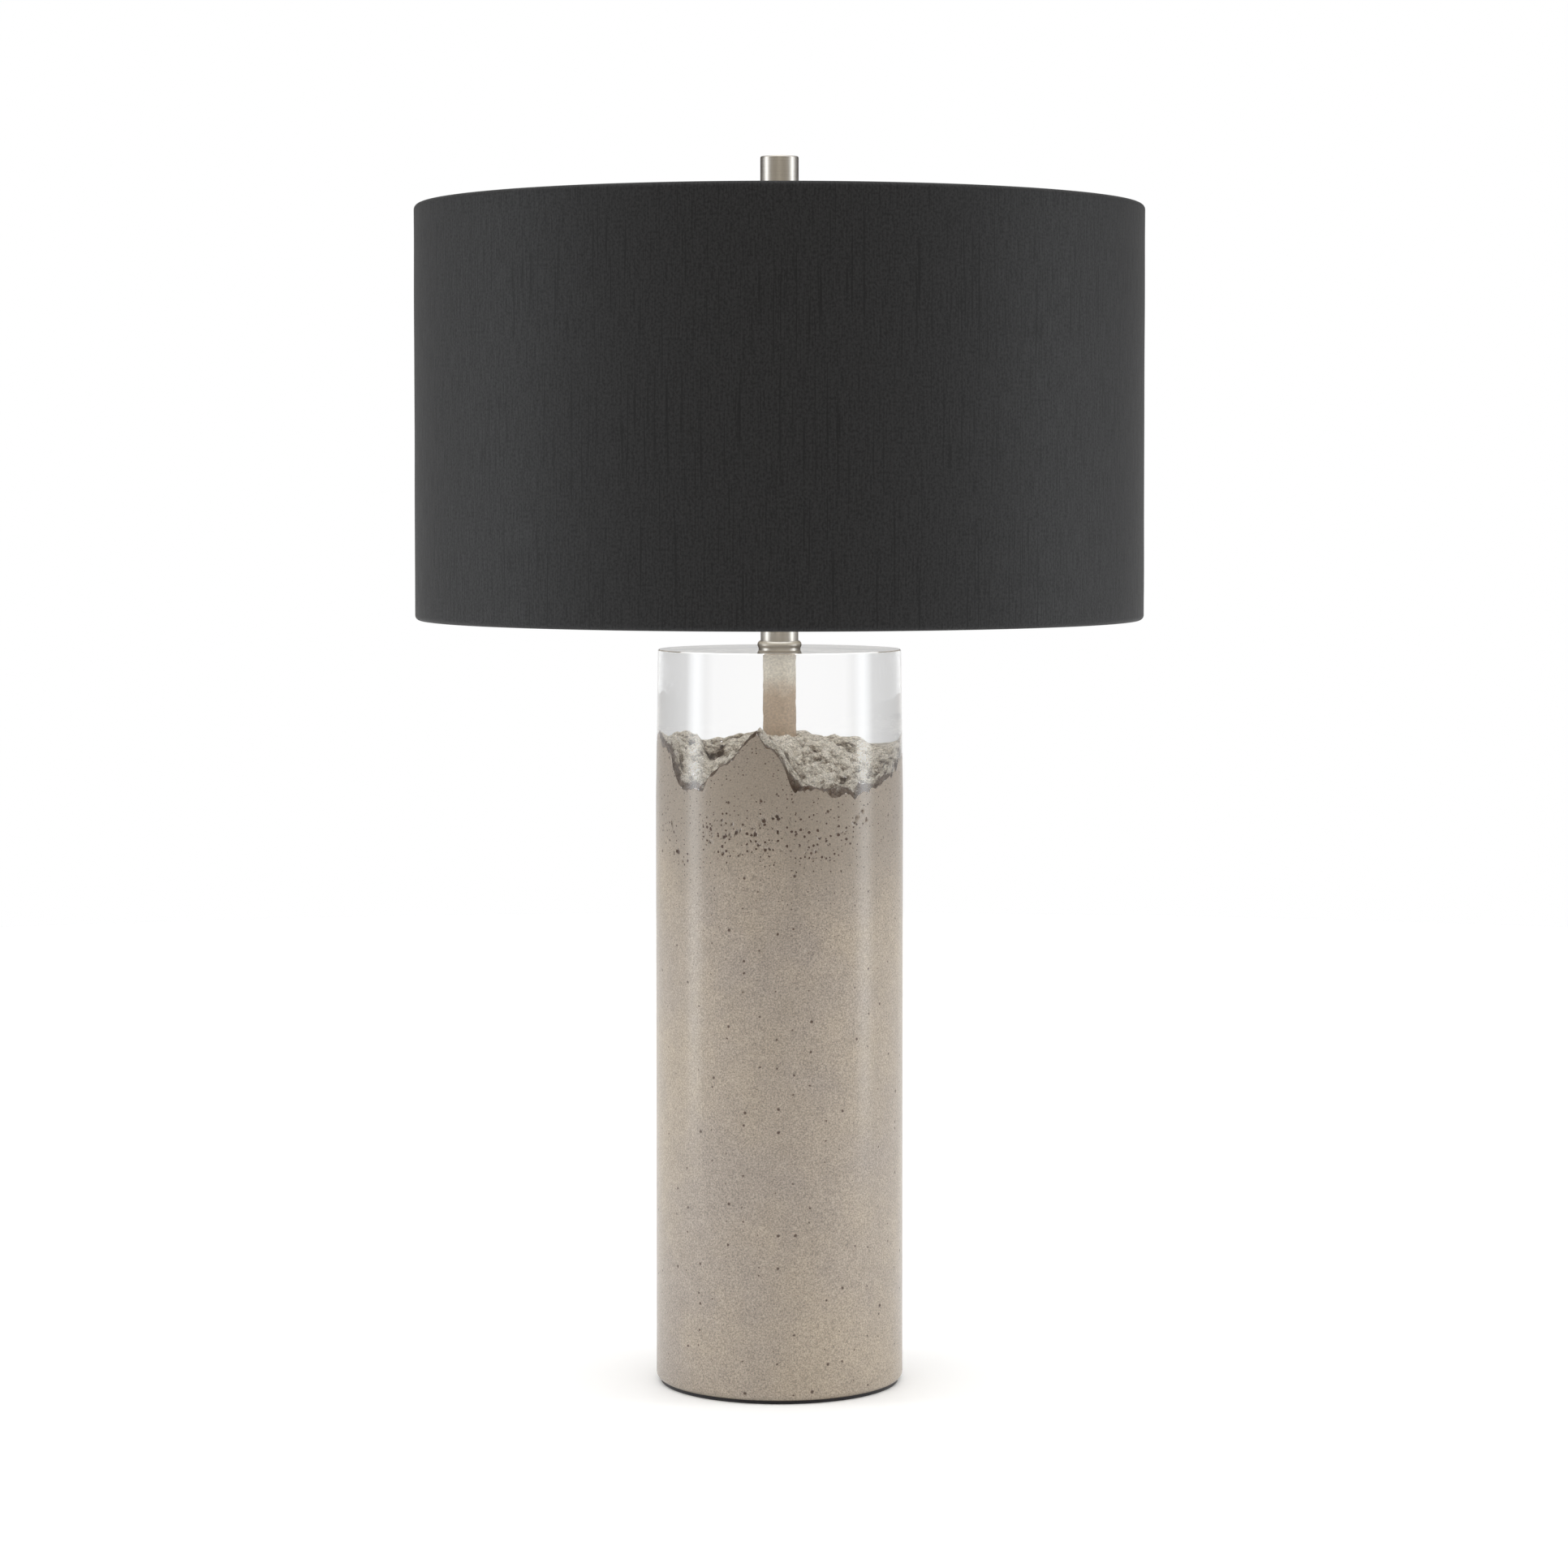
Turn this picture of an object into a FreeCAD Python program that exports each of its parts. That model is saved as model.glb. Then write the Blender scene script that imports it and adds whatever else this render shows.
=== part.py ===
"""Table lamp: concrete column under a clear cast top, nickel neck, harp, socket, bulb and drum shade.

Millimetres, +Z up. The origin is on the lamp's axis, on the surface that the felt pad rests on.
The front is -Y, the cord leaves at the back, and the harp stands in the XZ plane.
"""

import FreeCAD
import Part
import math
import os

# --- Overall sizes -----------------------------------------------------------------------------
COLUMN_DIAMETER = 164.5        # outside of the concrete column
COLUMN_HEIGHT = 488.9          # floor to the polished top face of the clear part
SHADE_DIAMETER = 482.6         # outside of the drum
SHADE_HEIGHT = 273.1           # rim to rim
HARP_HEIGHT = 228.6            # saddle to the face that the shade rests on
NECK_HEIGHT = 45.0
NECK_DIAMETER = 25.0
FINIAL_DIAMETER = 25.4
FINIAL_HEIGHT = 41.2

# --- Clearances --------------------------------------------------------------------------------
THREAD_CLEARANCE = 0.1         # radial, pipe thread to what is screwed or threaded over it
FIT_CLEARANCE = 0.1            # radial, spigots and turning pins
SEAT_GAP = 0.1                 # axial, between faces that rest on each other but come apart
MOVING_GAP = 0.3               # around every other moving piece
PLATE_CLEARANCE = 0.5          # radial, base plate in its recess

# --- Column ------------------------------------------------------------------------------------
FELT_THICKNESS = 2.0
FELT_INSET = 3.0               # felt edge inside the column's edge
COLUMN_FOOT_RADIUS = 4.0       # rounding of the concrete's lower edge
COLUMN_WALL = 15.0
CAVITY_ROOF = 45.0             # concrete left between the cavity and the lowest notch of the edge
CAVITY_CORNER = 12.0
PLATE_LEDGE = 5.0              # width of the ledge that the base plate bears on
PLATE_DEPTH = 30.0             # concrete's lower face up to that ledge
PLATE_THICKNESS = 3.0
CLEAR_DEPTH = 98.0             # top face down to below the lowest notch
CLEAR_DRAFT = 1.4              # how far the clear top's radius tapers over CLEAR_DEPTH
CLEAR_BEVEL = 0.6
STEM_DIAMETER = 14.7           # cement sleeve around the pipe, inside the clear top
STEM_EMBED = 25.0              # how far it is cast into the concrete
CORE_DROP = 60.0               # top face down to the broken concrete around the stem
CORE_SHARE = 0.30              # share of the radius over which that core is level
RIPPLE_HEIGHT = 2.2
RIPPLE_LENGTH = 31.0
GRID_STEPS = 26                # spans of the broken surface across the column

# The broken edge at the column's wall: (degrees from the front towards +X, drop below the top face)
CREST = (
    (-168, 74), (-140, 62), (-112, 71), (-88, 58), (-68, 60), (-56, 76), (-42, 88), (-29, 77),
    (-15, 61), (-9, 52), (-3, 62), (8, 82), (18, 92), (30, 95), (44, 90), (57, 84), (70, 76),
    (95, 73), (118, 62), (140, 77), (163, 64),
)

# --- Pipe and its fixings ----------------------------------------------------------------------
PIPE_DIAMETER = 10.0
PIPE_BORE = 6.8
PIPE_TAIL = 2.0                # pipe showing below the bottom nut
PIPE_IN_CAP = 7.0              # pipe standing into the socket cap
WASHER_DIAMETER = 26.0
WASHER_THICKNESS = 1.5
LOCK_WASHER_DIAMETER = 18.0
LOCK_WASHER_THICKNESS = 1.2
LOCK_WASHER_TEETH = 10
NUT_ACROSS_FLATS = 16.0
NUT_THICKNESS = 4.8

# --- Cord outlet -------------------------------------------------------------------------------
OUTLET_BELOW_PLATE = 13.0      # plate's underside down to the outlet's axis
OUTLET_BORE = 8.0
OUTLET_BODY = 12.6
OUTLET_FLANGE = 17.6
OUTLET_FLANGE_THICKNESS = 2.0
OUTLET_INSIDE = 2.0            # how far it stands into the recess
OUTLET_SPOT_DEPTH = 1.0
OUTLET_LIP = 0.8               # rounding of the flange's mouth

# --- Check ring and neck -----------------------------------------------------------------------
RING_DIAMETER = 29.3
RING_HEIGHT = 5.6
RING_FOOT_HEIGHT = 0.9
RING_FOOT_STEP = 0.8           # foot's radius inside the bead's
NECK_WALL = 1.0
SPIGOT_HEIGHT = 2.0
NECK_CAP_THICKNESS = 2.0

# --- Harp --------------------------------------------------------------------------------------
SADDLE_WIDTH = 12.7
SADDLE_THICKNESS = 1.6
SADDLE_BEND = 9.0
SADDLE_ARM = 22.0              # saddle's floor up to the top of its arms
HARP_SPREAD = 57.0             # between the two legs' axes at the saddle
HARP_WIDTH = 114.0             # between the wire's axes at the widest
HARP_WIRE = 4.0
STUB_LENGTH = 8.0
SLEEVE_DIAMETER = 8.4
SLEEVE_LENGTH = 15.0
SLEEVE_OVERLAP = 7.0           # how much of the sleeve is below the leg's end
SLEEVE_TRAVEL = 10.0
LEG_STRAIGHT = 25.0
SHOULDER_BEND = 45.0
TOP_BEND = 45.0
EYE_DIAMETER = 16.0
EYE_THICKNESS = 3.2

# --- Swivel stud, spider and finial -------------------------------------------------------------
STUD_DIAMETER = 6.2
STUD_HEIGHT = 16.0             # above the face that the shade rests on
SWIVEL_PIN = 4.8
SWIVEL_HEAD = 8.4
SWIVEL_HEAD_THICKNESS = 1.2
SEAT_DIAMETER = 18.0
SEAT_THICKNESS = 2.2
STUD_HOLE_CLEARANCE = 0.4      # radial, spider's hole around the stud
HUB_DIAMETER = 28.0
HUB_THICKNESS = 2.0
SPIDER_DROP = 10.2             # shade's upper rim down to the hub's underside
SPIDER_ARMS = 3
SPIDER_ROD = 3.6
SPIDER_BEND = 20.0
SPIDER_BEND_INSET = 6.0        # the bend's end to the ring's axis
FINIAL_EDGE = 1.0
FINIAL_BORE_SPARE = 3.0        # bore's depth past the stud's end

# --- Shade -------------------------------------------------------------------------------------
FABRIC_THICKNESS = 0.6
LINER_THICKNESS = 0.8
RING_WIRE = 4.4
HEM_DEPTH = 7.0                # inner leg of the rolled hem, from the ring's axis
HEM_SLIT_CLEARANCE = 0.4

# --- Socket ------------------------------------------------------------------------------------
SOCKET_DIAMETER = 36.0
SOCKET_WALL = 0.7
CAP_BOSS_DIAMETER = 16.0
CAP_BOSS_HEIGHT = 7.0
CAP_HEIGHT = 24.0
SHELL_IN_CAP = 7.0
SHELL_HEIGHT = 50.0
SHELL_LIP = 1.4
LINER_TUBE_WALL = 0.6
SOCKET_SHELF = 5.0             # width of the shelf in the cap that shell, liner and body stand on
SOCKET_BOW = 1.4               # bulge of the cap's flare
SOCKET_BODY_HEIGHT = 18.0
SOCKET_FLANGE_THICKNESS = 3.0
SOCKET_BODY_SIDE_GAP = 3.0     # body's radius inside the paper liner, room for the screw heads
THREAD_RADIUS = 12.75          # mean radius of the bulb's rolled thread
THREAD_DEPTH = 0.35
THREAD_PITCH = 3.63
THREAD_TURNS = 6
SCREW_SHELL_WALL = 0.5
SCREW_SHELL_FLOOR = 1.0
CONTACT_LENGTH = 14.0
CONTACT_WIDTH = 6.0
CONTACT_THICKNESS = 0.6
CONTACT_RISE = 2.4
TERMINAL_HEAD = 6.0
TERMINAL_HEAD_THICKNESS = 1.6
TERMINAL_SHANK = 3.0
TERMINAL_SHANK_LENGTH = 5.0
SLOT_WIDTH = 0.9
RIVET_SHANK = 2.4
RIVET_DEPTH = 4.0
RIVET_HEAD = 4.0
RIVET_HEAD_THICKNESS = 0.8
SET_SCREW_DIAMETER = 3.0
SET_SCREW_LENGTH = 4.5
SHAFT_ABOVE_CAP = 4.0          # cap's rim up to the shaft's axis
SHAFT_DIAMETER = 3.8
SHAFT_INSIDE = 6.0             # shaft's inner end from the lamp's axis
SHAFT_FLANGE = 7.0
SHAFT_FLANGE_THICKNESS = 1.0
KNOB_STANDOFF = 7.0            # socket shell to the knob
KNOB_DIAMETER = 11.0
KNOB_LENGTH = 13.0
KNOB_PADDLE = 5.0              # thickness of the flattened grip
KNOB_COLLAR = 4.0
KNOB_ON_SHAFT = 8.0

# --- Bulb --------------------------------------------------------------------------------------
BULB_DIAMETER = 60.0
BULB_HEIGHT = 108.0            # tip of the contact to the crown
BULB_GLASS = 0.8
BULB_CAP_SKIRT = 4.0
BULB_NECK_RISE = 26.0          # cap's top up to where the neck meets the globe
BULB_INSULATOR_HEIGHT = 4.0
BULB_CONTACT_DIAMETER = 9.0
BULB_CONTACT_HEIGHT = 1.4

# --- Levels and radii that follow ----------------------------------------------------------------
column_radius = COLUMN_DIAMETER / 2
pipe_radius = PIPE_DIAMETER / 2
pipe_hole = pipe_radius + THREAD_CLEARANCE
stem_radius = STEM_DIAMETER / 2
cavity_radius = column_radius - COLUMN_WALL
recess_radius = cavity_radius + PLATE_LEDGE
concrete_base = FELT_THICKNESS
ledge_level = concrete_base + PLATE_DEPTH
plate_base = ledge_level - PLATE_THICKNESS
washer_base = plate_base - WASHER_THICKNESS
lock_washer_base = washer_base - LOCK_WASHER_THICKNESS
nut_base = lock_washer_base - NUT_THICKNESS
pipe_base = nut_base - PIPE_TAIL
clear_top = COLUMN_HEIGHT
clear_base = clear_top - CLEAR_DEPTH
cavity_top = clear_base - CAVITY_ROOF
stem_base = clear_top - CORE_DROP - STEM_EMBED
outlet_level = plate_base - OUTLET_BELOW_PLATE
ring_top = clear_top + RING_HEIGHT
neck_top = ring_top + NECK_HEIGHT
neck_radius = NECK_DIAMETER / 2
spigot_radius = neck_radius - NECK_WALL - FIT_CLEARANCE
saddle_base = neck_top + NECK_CAP_THICKNESS
saddle_top = saddle_base + SADDLE_THICKNESS
pipe_top = saddle_top + PIPE_IN_CAP
arm_top = saddle_base + SADDLE_ARM
leg_base = arm_top + STUB_LENGTH + SEAT_GAP
leg_x = HARP_SPREAD / 2
wire_radius = HARP_WIRE / 2
sleeve_base = leg_base - SLEEVE_OVERLAP
seat_level = saddle_top + HARP_HEIGHT
eye_top = seat_level - SEAT_THICKNESS - SEAT_GAP
eye_base = eye_top - EYE_THICKNESS
harp_crown = (eye_top + eye_base) / 2
hub_base = seat_level + SEAT_GAP
hub_top = hub_base + HUB_THICKNESS
finial_base = hub_top + SEAT_GAP
shade_top = seat_level + SPIDER_DROP
shade_base = shade_top - SHADE_HEIGHT
shade_radius = SHADE_DIAMETER / 2
ring_wire_radius = RING_WIRE / 2
hem_radius = FABRIC_THICKNESS + LINER_THICKNESS / 2 + FIT_CLEARANCE + ring_wire_radius
liner_radius = shade_radius - FABRIC_THICKNESS
ring_radius = liner_radius - LINER_THICKNESS - FIT_CLEARANCE - ring_wire_radius
top_ring_level = shade_top - hem_radius
bottom_ring_level = shade_base + hem_radius
socket_radius = SOCKET_DIAMETER / 2
shell_base = saddle_top + CAP_HEIGHT - SHELL_IN_CAP
paper_radius = socket_radius - SOCKET_WALL - FIT_CLEARANCE
body_radius = paper_radius - LINER_TUBE_WALL - SOCKET_BODY_SIDE_GAP
body_top = shell_base + SOCKET_BODY_HEIGHT
shaft_level = saddle_top + CAP_HEIGHT + SHAFT_ABOVE_CAP
screw_floor_top = body_top + SCREW_SHELL_FLOOR
contact_top = screw_floor_top + CONTACT_THICKNESS + CONTACT_RISE
bulb_tip = contact_top + MOVING_GAP
insulator_base = bulb_tip + BULB_CONTACT_HEIGHT
cap_thread_base = insulator_base + BULB_INSULATOR_HEIGHT
thread_length = THREAD_PITCH * THREAD_TURNS
bulb_cap_top = cap_thread_base + thread_length + BULB_CAP_SKIRT
bulb_crown = bulb_tip + BULB_HEIGHT


# --- Small tools ---------------------------------------------------------------------------------
def vec(x, y, z):
    return FreeCAD.Vector(x, y, z)


def rz(r, z):
    """A point of a half section: radius and height, in the XZ plane."""
    return vec(r, 0, z)


def arc(start, middle, end):
    return Part.Arc(start, middle, end).toShape()


def line(start, end):
    return Part.LineSegment(start, end).toShape()


def disc(radius, thickness, base, x=0, y=0):
    return Part.makeCylinder(radius, thickness, vec(x, y, base))


def tube(outer, inner, height, base):
    return disc(outer, height, base).cut(disc(inner, height, base))


def rod_y(radius, y_start, y_end, level):
    """A cylinder along Y between two y values, centred on the lamp's axis plane."""
    start, end = min(y_start, y_end), max(y_start, y_end)
    return Part.makeCylinder(radius, end - start, vec(0, start, level), vec(0, 1, 0))


def turned(edges):
    """The solid of revolution about Z of a closed half section."""
    wire = Part.Wire(Part.__sortEdges__(edges))
    return Part.Face(wire).revolve(vec(0, 0, 0), vec(0, 0, 1), 360)


def turned_polygon(points):
    return turned(Part.makePolygon([rz(*p) for p in [*points, points[0]]]).Edges)


def swept_rod(edges, radius):
    """A round rod along a path of tangent lines and arcs."""
    path = Part.Wire(edges)
    start = path.Edges[0].firstVertex().Point
    along = path.Edges[0].tangentAt(path.Edges[0].FirstParameter)
    section = Part.Wire(Part.makeCircle(radius, start, along))
    return path.makePipeShell([section], True, False)


def around(shape, count, first=0.0):
    """Copies of a shape, evenly spaced about the lamp's axis."""
    copies = []
    for index in range(count):
        copy = shape.copy()
        copy.rotate(vec(0, 0, 0), vec(0, 0, 1), first + 360.0 * index / count)
        copies.append(copy)
    return copies


def smooth(t):
    """0 below 0, 1 above 1, and a smooth step between."""
    t = min(1.0, max(0.0, t))
    return t * t * (3 - 2 * t)


# --- Column: concrete, clear top, base -------------------------------------------------------------
def crest_drop(angle):
    """How far the broken edge lies below the top face, at an angle in degrees from the front."""
    points = [*CREST, (CREST[0][0] + 360, CREST[0][1])]
    angle = (angle - CREST[0][0]) % 360 + CREST[0][0]
    for (a0, d0), (a1, d1) in zip(points, points[1:]):
        if a0 <= angle <= a1:
            return d0 + (d1 - d0) * smooth((angle - a0) / (a1 - a0))
    return CREST[0][1]


def broken_level(x, y):
    """Height of the broken concrete under the clear top: a level core that runs out to the crest."""
    radius = math.hypot(x, y)
    edge = crest_drop(math.degrees(math.atan2(x, -y)))
    share = smooth((radius / column_radius - CORE_SHARE) / (1 - CORE_SHARE))
    wave = 2 * math.pi / RIPPLE_LENGTH
    ripple = math.sin(wave * (x + 0.4 * y)) * math.cos(wave * (1.3 * y - 0.3 * x))
    return clear_top - CORE_DROP - (edge - CORE_DROP) * share + RIPPLE_HEIGHT * ripple


def above_the_break():
    """Everything above the broken surface, as one block."""
    half = column_radius * 1.06
    steps = [half * (2.0 * i / GRID_STEPS - 1) for i in range(GRID_STEPS + 1)]
    surface = Part.BSplineSurface()
    surface.interpolate([[vec(x, y, broken_level(x, y)) for y in steps] for x in steps])
    return surface.toShape().extrude(vec(0, 0, CLEAR_DEPTH * 2))


def casting():
    """The whole cast column, concrete and clear top together, as poured."""
    foot, bevel = COLUMN_FOOT_RADIUS, CLEAR_BEVEL
    top_radius = column_radius - CLEAR_DRAFT
    low = rz(column_radius - foot, concrete_base)
    high = rz(column_radius, concrete_base + foot)
    slant = foot * (1 - math.sqrt(0.5))
    middle = rz(column_radius - slant, concrete_base + slant)
    shoulder = rz(column_radius, clear_base)
    brow = rz(top_radius, clear_top - bevel)
    face = rz(top_radius - bevel, clear_top)
    return turned([
        line(rz(0, concrete_base), low), arc(low, middle, high), line(high, shoulder),
        line(shoulder, brow), line(brow, face), line(face, rz(0, clear_top)),
        line(rz(0, clear_top), rz(0, concrete_base)),
    ])


def cavity():
    """The hollow cast into the column, with the base plate's recess below its ledge."""
    corner = min(CAVITY_CORNER, cavity_radius / 2)
    slant = corner * (1 - math.sqrt(0.5))
    low = rz(cavity_radius, cavity_top - corner)
    middle = rz(cavity_radius - slant, cavity_top - slant)
    high = rz(cavity_radius - corner, cavity_top)
    points = [rz(0, cavity_top), rz(0, concrete_base), rz(recess_radius, concrete_base),
              rz(recess_radius, ledge_level), rz(cavity_radius, ledge_level), low]
    edges = [line(a, b) for a, b in zip(points, points[1:])]
    return turned([*edges, arc(low, middle, high), line(high, points[0])])


def outlet_hole():
    spot = column_radius - OUTLET_SPOT_DEPTH
    body = rod_y(OUTLET_BODY / 2, 0, column_radius, outlet_level)
    seat = rod_y(OUTLET_FLANGE / 2 + FIT_CLEARANCE, spot, column_radius * 1.1, outlet_level)
    return body.fuse(seat)


def concrete_column(blank, above):
    solid = blank.cut(above).cut(cavity()).cut(outlet_hole())
    solid = solid.cut(disc(pipe_hole, clear_top, 0))
    return solid.cut(disc(stem_radius, clear_top, stem_base))


def clear_top_casting(blank, above):
    return blank.common(above).cut(disc(stem_radius, clear_top, stem_base))


def cement_stem():
    return tube(stem_radius, pipe_hole, clear_top - stem_base, stem_base)


def felt_pad():
    return disc(column_radius - FELT_INSET, FELT_THICKNESS, 0)


def base_plate():
    return tube(recess_radius - PLATE_CLEARANCE, pipe_hole, PLATE_THICKNESS, plate_base)


def cord_outlet():
    """A flanged bush through the column's wall, with a rounded mouth for the cord."""
    spot = column_radius - OUTLET_SPOT_DEPTH
    inside = math.sqrt(recess_radius ** 2 - (OUTLET_BODY / 2) ** 2) - OUTLET_INSIDE
    face = spot + OUTLET_FLANGE_THICKNESS
    bush = rod_y(OUTLET_BODY / 2, inside, spot, outlet_level)
    bush = bush.fuse(rod_y(OUTLET_FLANGE / 2, spot, face, outlet_level)).removeSplitter()
    bush = bush.cut(rod_y(OUTLET_BORE / 2, inside, face, outlet_level))
    lips = [e for e in bush.Edges if len(e.Vertexes) == 1 and abs(e.CenterOfMass.y - face) < 0.01]
    return bush.makeFillet(OUTLET_LIP, lips)


# --- Pipe and fixings ------------------------------------------------------------------------------
def lamp_pipe():
    return tube(pipe_radius, PIPE_BORE / 2, pipe_top - pipe_base, pipe_base)


def flat_washer():
    return tube(WASHER_DIAMETER / 2, pipe_hole, WASHER_THICKNESS, washer_base)


def lock_washer():
    """A star washer: a ring with notches between its outer teeth."""
    radius = LOCK_WASHER_DIAMETER / 2
    notch_radius = math.pi * radius / LOCK_WASHER_TEETH / 2
    notch = disc(notch_radius, LOCK_WASHER_THICKNESS, lock_washer_base, radius)
    ring = tube(radius, pipe_hole, LOCK_WASHER_THICKNESS, lock_washer_base)
    return ring.cut(Part.makeCompound(around(notch, LOCK_WASHER_TEETH)))


def bottom_nut():
    radius = NUT_ACROSS_FLATS / math.sqrt(3)
    corners = [vec(radius * math.cos(math.radians(a)), radius * math.sin(math.radians(a)), nut_base)
               for a in range(0, 361, 60)]
    hexagon = Part.Face(Part.makePolygon(corners)).extrude(vec(0, 0, NUT_THICKNESS))
    crown = Part.makeCone(NUT_ACROSS_FLATS / 2, radius + NUT_THICKNESS, NUT_THICKNESS * 2,
                          vec(0, 0, nut_base))
    return hexagon.common(crown).cut(disc(pipe_hole, NUT_THICKNESS, nut_base))


# --- Check ring and neck ---------------------------------------------------------------------------
def check_ring():
    """A turned bead on a short foot, with a spigot that centres the neck."""
    bead = RING_DIAMETER / 2
    foot = bead - RING_FOOT_STEP
    waist = clear_top + RING_FOOT_HEIGHT
    middle = (waist + ring_top) / 2
    shoulder = max(neck_radius, foot - RING_FOOT_STEP)
    spigot_top = ring_top + SPIGOT_HEIGHT
    points = [rz(shoulder, ring_top), rz(spigot_radius, ring_top), rz(spigot_radius, spigot_top),
              rz(pipe_hole, spigot_top), rz(pipe_hole, clear_top), rz(foot, clear_top), rz(foot, waist)]
    edges = [line(a, b) for a, b in zip(points, points[1:])]
    return turned([*edges, arc(points[-1], rz(bead, middle), points[0])])


def neck_tube():
    return tube(neck_radius, neck_radius - NECK_WALL, NECK_HEIGHT, ring_top)


def neck_cap():
    """The washer that closes the neck, with a spigot into the tube."""
    bevel = NECK_CAP_THICKNESS / 4
    return turned_polygon([
        (pipe_hole, neck_top - SPIGOT_HEIGHT), (spigot_radius, neck_top - SPIGOT_HEIGHT),
        (spigot_radius, neck_top), (neck_radius, neck_top), (neck_radius, saddle_base - bevel),
        (neck_radius - bevel, saddle_base), (pipe_hole, saddle_base),
    ])


# --- Harp ------------------------------------------------------------------------------------------
def mirrored(points):
    return [vec(-p.x, p.y, p.z) for p in reversed(points)]


def harp_saddle():
    """A strip bent to a U, its arms ending in the stubs that the harp's legs stand on."""
    outer, inner = leg_x + SADDLE_THICKNESS / 2, leg_x - SADDLE_THICKNESS / 2
    bend = SADDLE_BEND
    y = -SADDLE_WIDTH / 2

    def side(x, level, radius):
        """Half of one face of the strip, from the middle out and up."""
        slant = radius * (1 - math.sqrt(0.5))
        return [vec(x - radius, y, level), vec(x - slant, y, level + slant), vec(x, y, level + radius),
                vec(x, y, arm_top)]

    def face_edges(x, level, radius):
        right = side(x, level, radius)
        left = mirrored(right)
        return [line(left[0], left[1]), arc(*left[1:4]), line(left[3], right[0]),
                arc(*right[0:3]), line(right[2], right[3])]

    under = face_edges(outer, saddle_base, bend + SADDLE_THICKNESS)
    over = face_edges(inner, saddle_top, bend)
    ends = [line(vec(s * outer, y, arm_top), vec(s * inner, y, arm_top)) for s in (-1, 1)]
    strip = Part.Face(Part.Wire(Part.__sortEdges__([*under, *over, *ends])))
    strip = strip.extrude(vec(0, SADDLE_WIDTH, 0)).cut(disc(pipe_hole, SADDLE_ARM, saddle_base))
    for s in (-1, 1):
        strip = strip.fuse(disc(wire_radius, STUB_LENGTH * 1.5, arm_top - STUB_LENGTH / 2, s * leg_x))
    return strip.removeSplitter()


def harp_wire():
    """The sprung wire: two straight legs, shoulders out to full width, and a bend over the top to
    the flattened eye that carries the swivel stud."""
    half = HARP_WIDTH / 2
    shift = (half - leg_x) / 2
    radius = max(SHOULDER_BEND, shift)
    turn = math.acos(1 - shift / radius)
    rise = radius * math.sin(turn)
    knee = leg_base + LEG_STRAIGHT
    top_bend = min(TOP_BEND, half - EYE_DIAMETER / 4)

    def on_bend(centre_x, centre_z, size, angle):
        return vec(centre_x + size * math.cos(angle), 0, centre_z + size * math.sin(angle))

    lower = [on_bend(leg_x + radius, knee, radius, math.pi - turn * t) for t in (0, 0.5, 1)]
    upper = [on_bend(half - radius, knee + 2 * rise, radius, turn * (t - 1)) for t in (0, 0.5, 1)]
    crown = [on_bend(half - top_bend, harp_crown - top_bend, top_bend, math.pi / 2 * t)
             for t in (0, 0.5, 1)]
    right = [line(vec(leg_x, 0, leg_base), lower[0]), arc(*lower), arc(*upper),
             line(upper[2], crown[0]), arc(*crown), line(crown[2], vec(0, 0, harp_crown))]
    rod = swept_rod(right, wire_radius)
    other = rod.mirror(vec(0, 0, 0), vec(1, 0, 0))
    eye = disc(EYE_DIAMETER / 2, EYE_THICKNESS, eye_base)
    flat = max(EYE_DIAMETER, SEAT_DIAMETER) / 2 + MOVING_GAP
    head_room = disc(flat, HARP_WIRE, eye_top)
    under_room = disc(flat, HARP_WIRE, eye_base - HARP_WIRE)
    wire = rod.fuse([other, eye]).cut([head_room, under_room])
    return wire.cut(disc(SWIVEL_PIN / 2 + FIT_CLEARANCE, HARP_WIRE * 3, eye_base - HARP_WIRE))


def harp_sleeve(side):
    """The ferrule that drops over a leg and its stub, and slides up to free the leg."""
    radius, bore = SLEEVE_DIAMETER / 2, wire_radius + MOVING_GAP
    top = sleeve_base + SLEEVE_LENGTH
    bevel = (radius - bore) / 3
    sleeve = turned_polygon([
        (bore, sleeve_base), (radius - bevel, sleeve_base), (radius, sleeve_base + bevel),
        (radius, top - bevel), (radius - bevel, top), (bore, top),
    ])
    sleeve.translate(vec(side * leg_x, 0, 0))
    return sleeve


def harp_stud():
    """The swivel that the shade rests on and the finial screws to, riveted through the harp's eye."""
    stud, seat = STUD_DIAMETER / 2, SEAT_DIAMETER / 2
    pin, head = SWIVEL_PIN / 2, SWIVEL_HEAD / 2
    seat_base, head_top = seat_level - SEAT_THICKNESS, eye_base - SEAT_GAP
    stud_top = seat_level + STUD_HEIGHT
    bevel = stud / 4
    return turned_polygon([
        (0, head_top - SWIVEL_HEAD_THICKNESS), (head, head_top - SWIVEL_HEAD_THICKNESS), (head, head_top),
        (pin, head_top), (pin, seat_base), (seat, seat_base), (seat, seat_level), (stud, seat_level),
        (stud, stud_top - bevel), (stud - bevel, stud_top), (0, stud_top),
    ])


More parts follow.
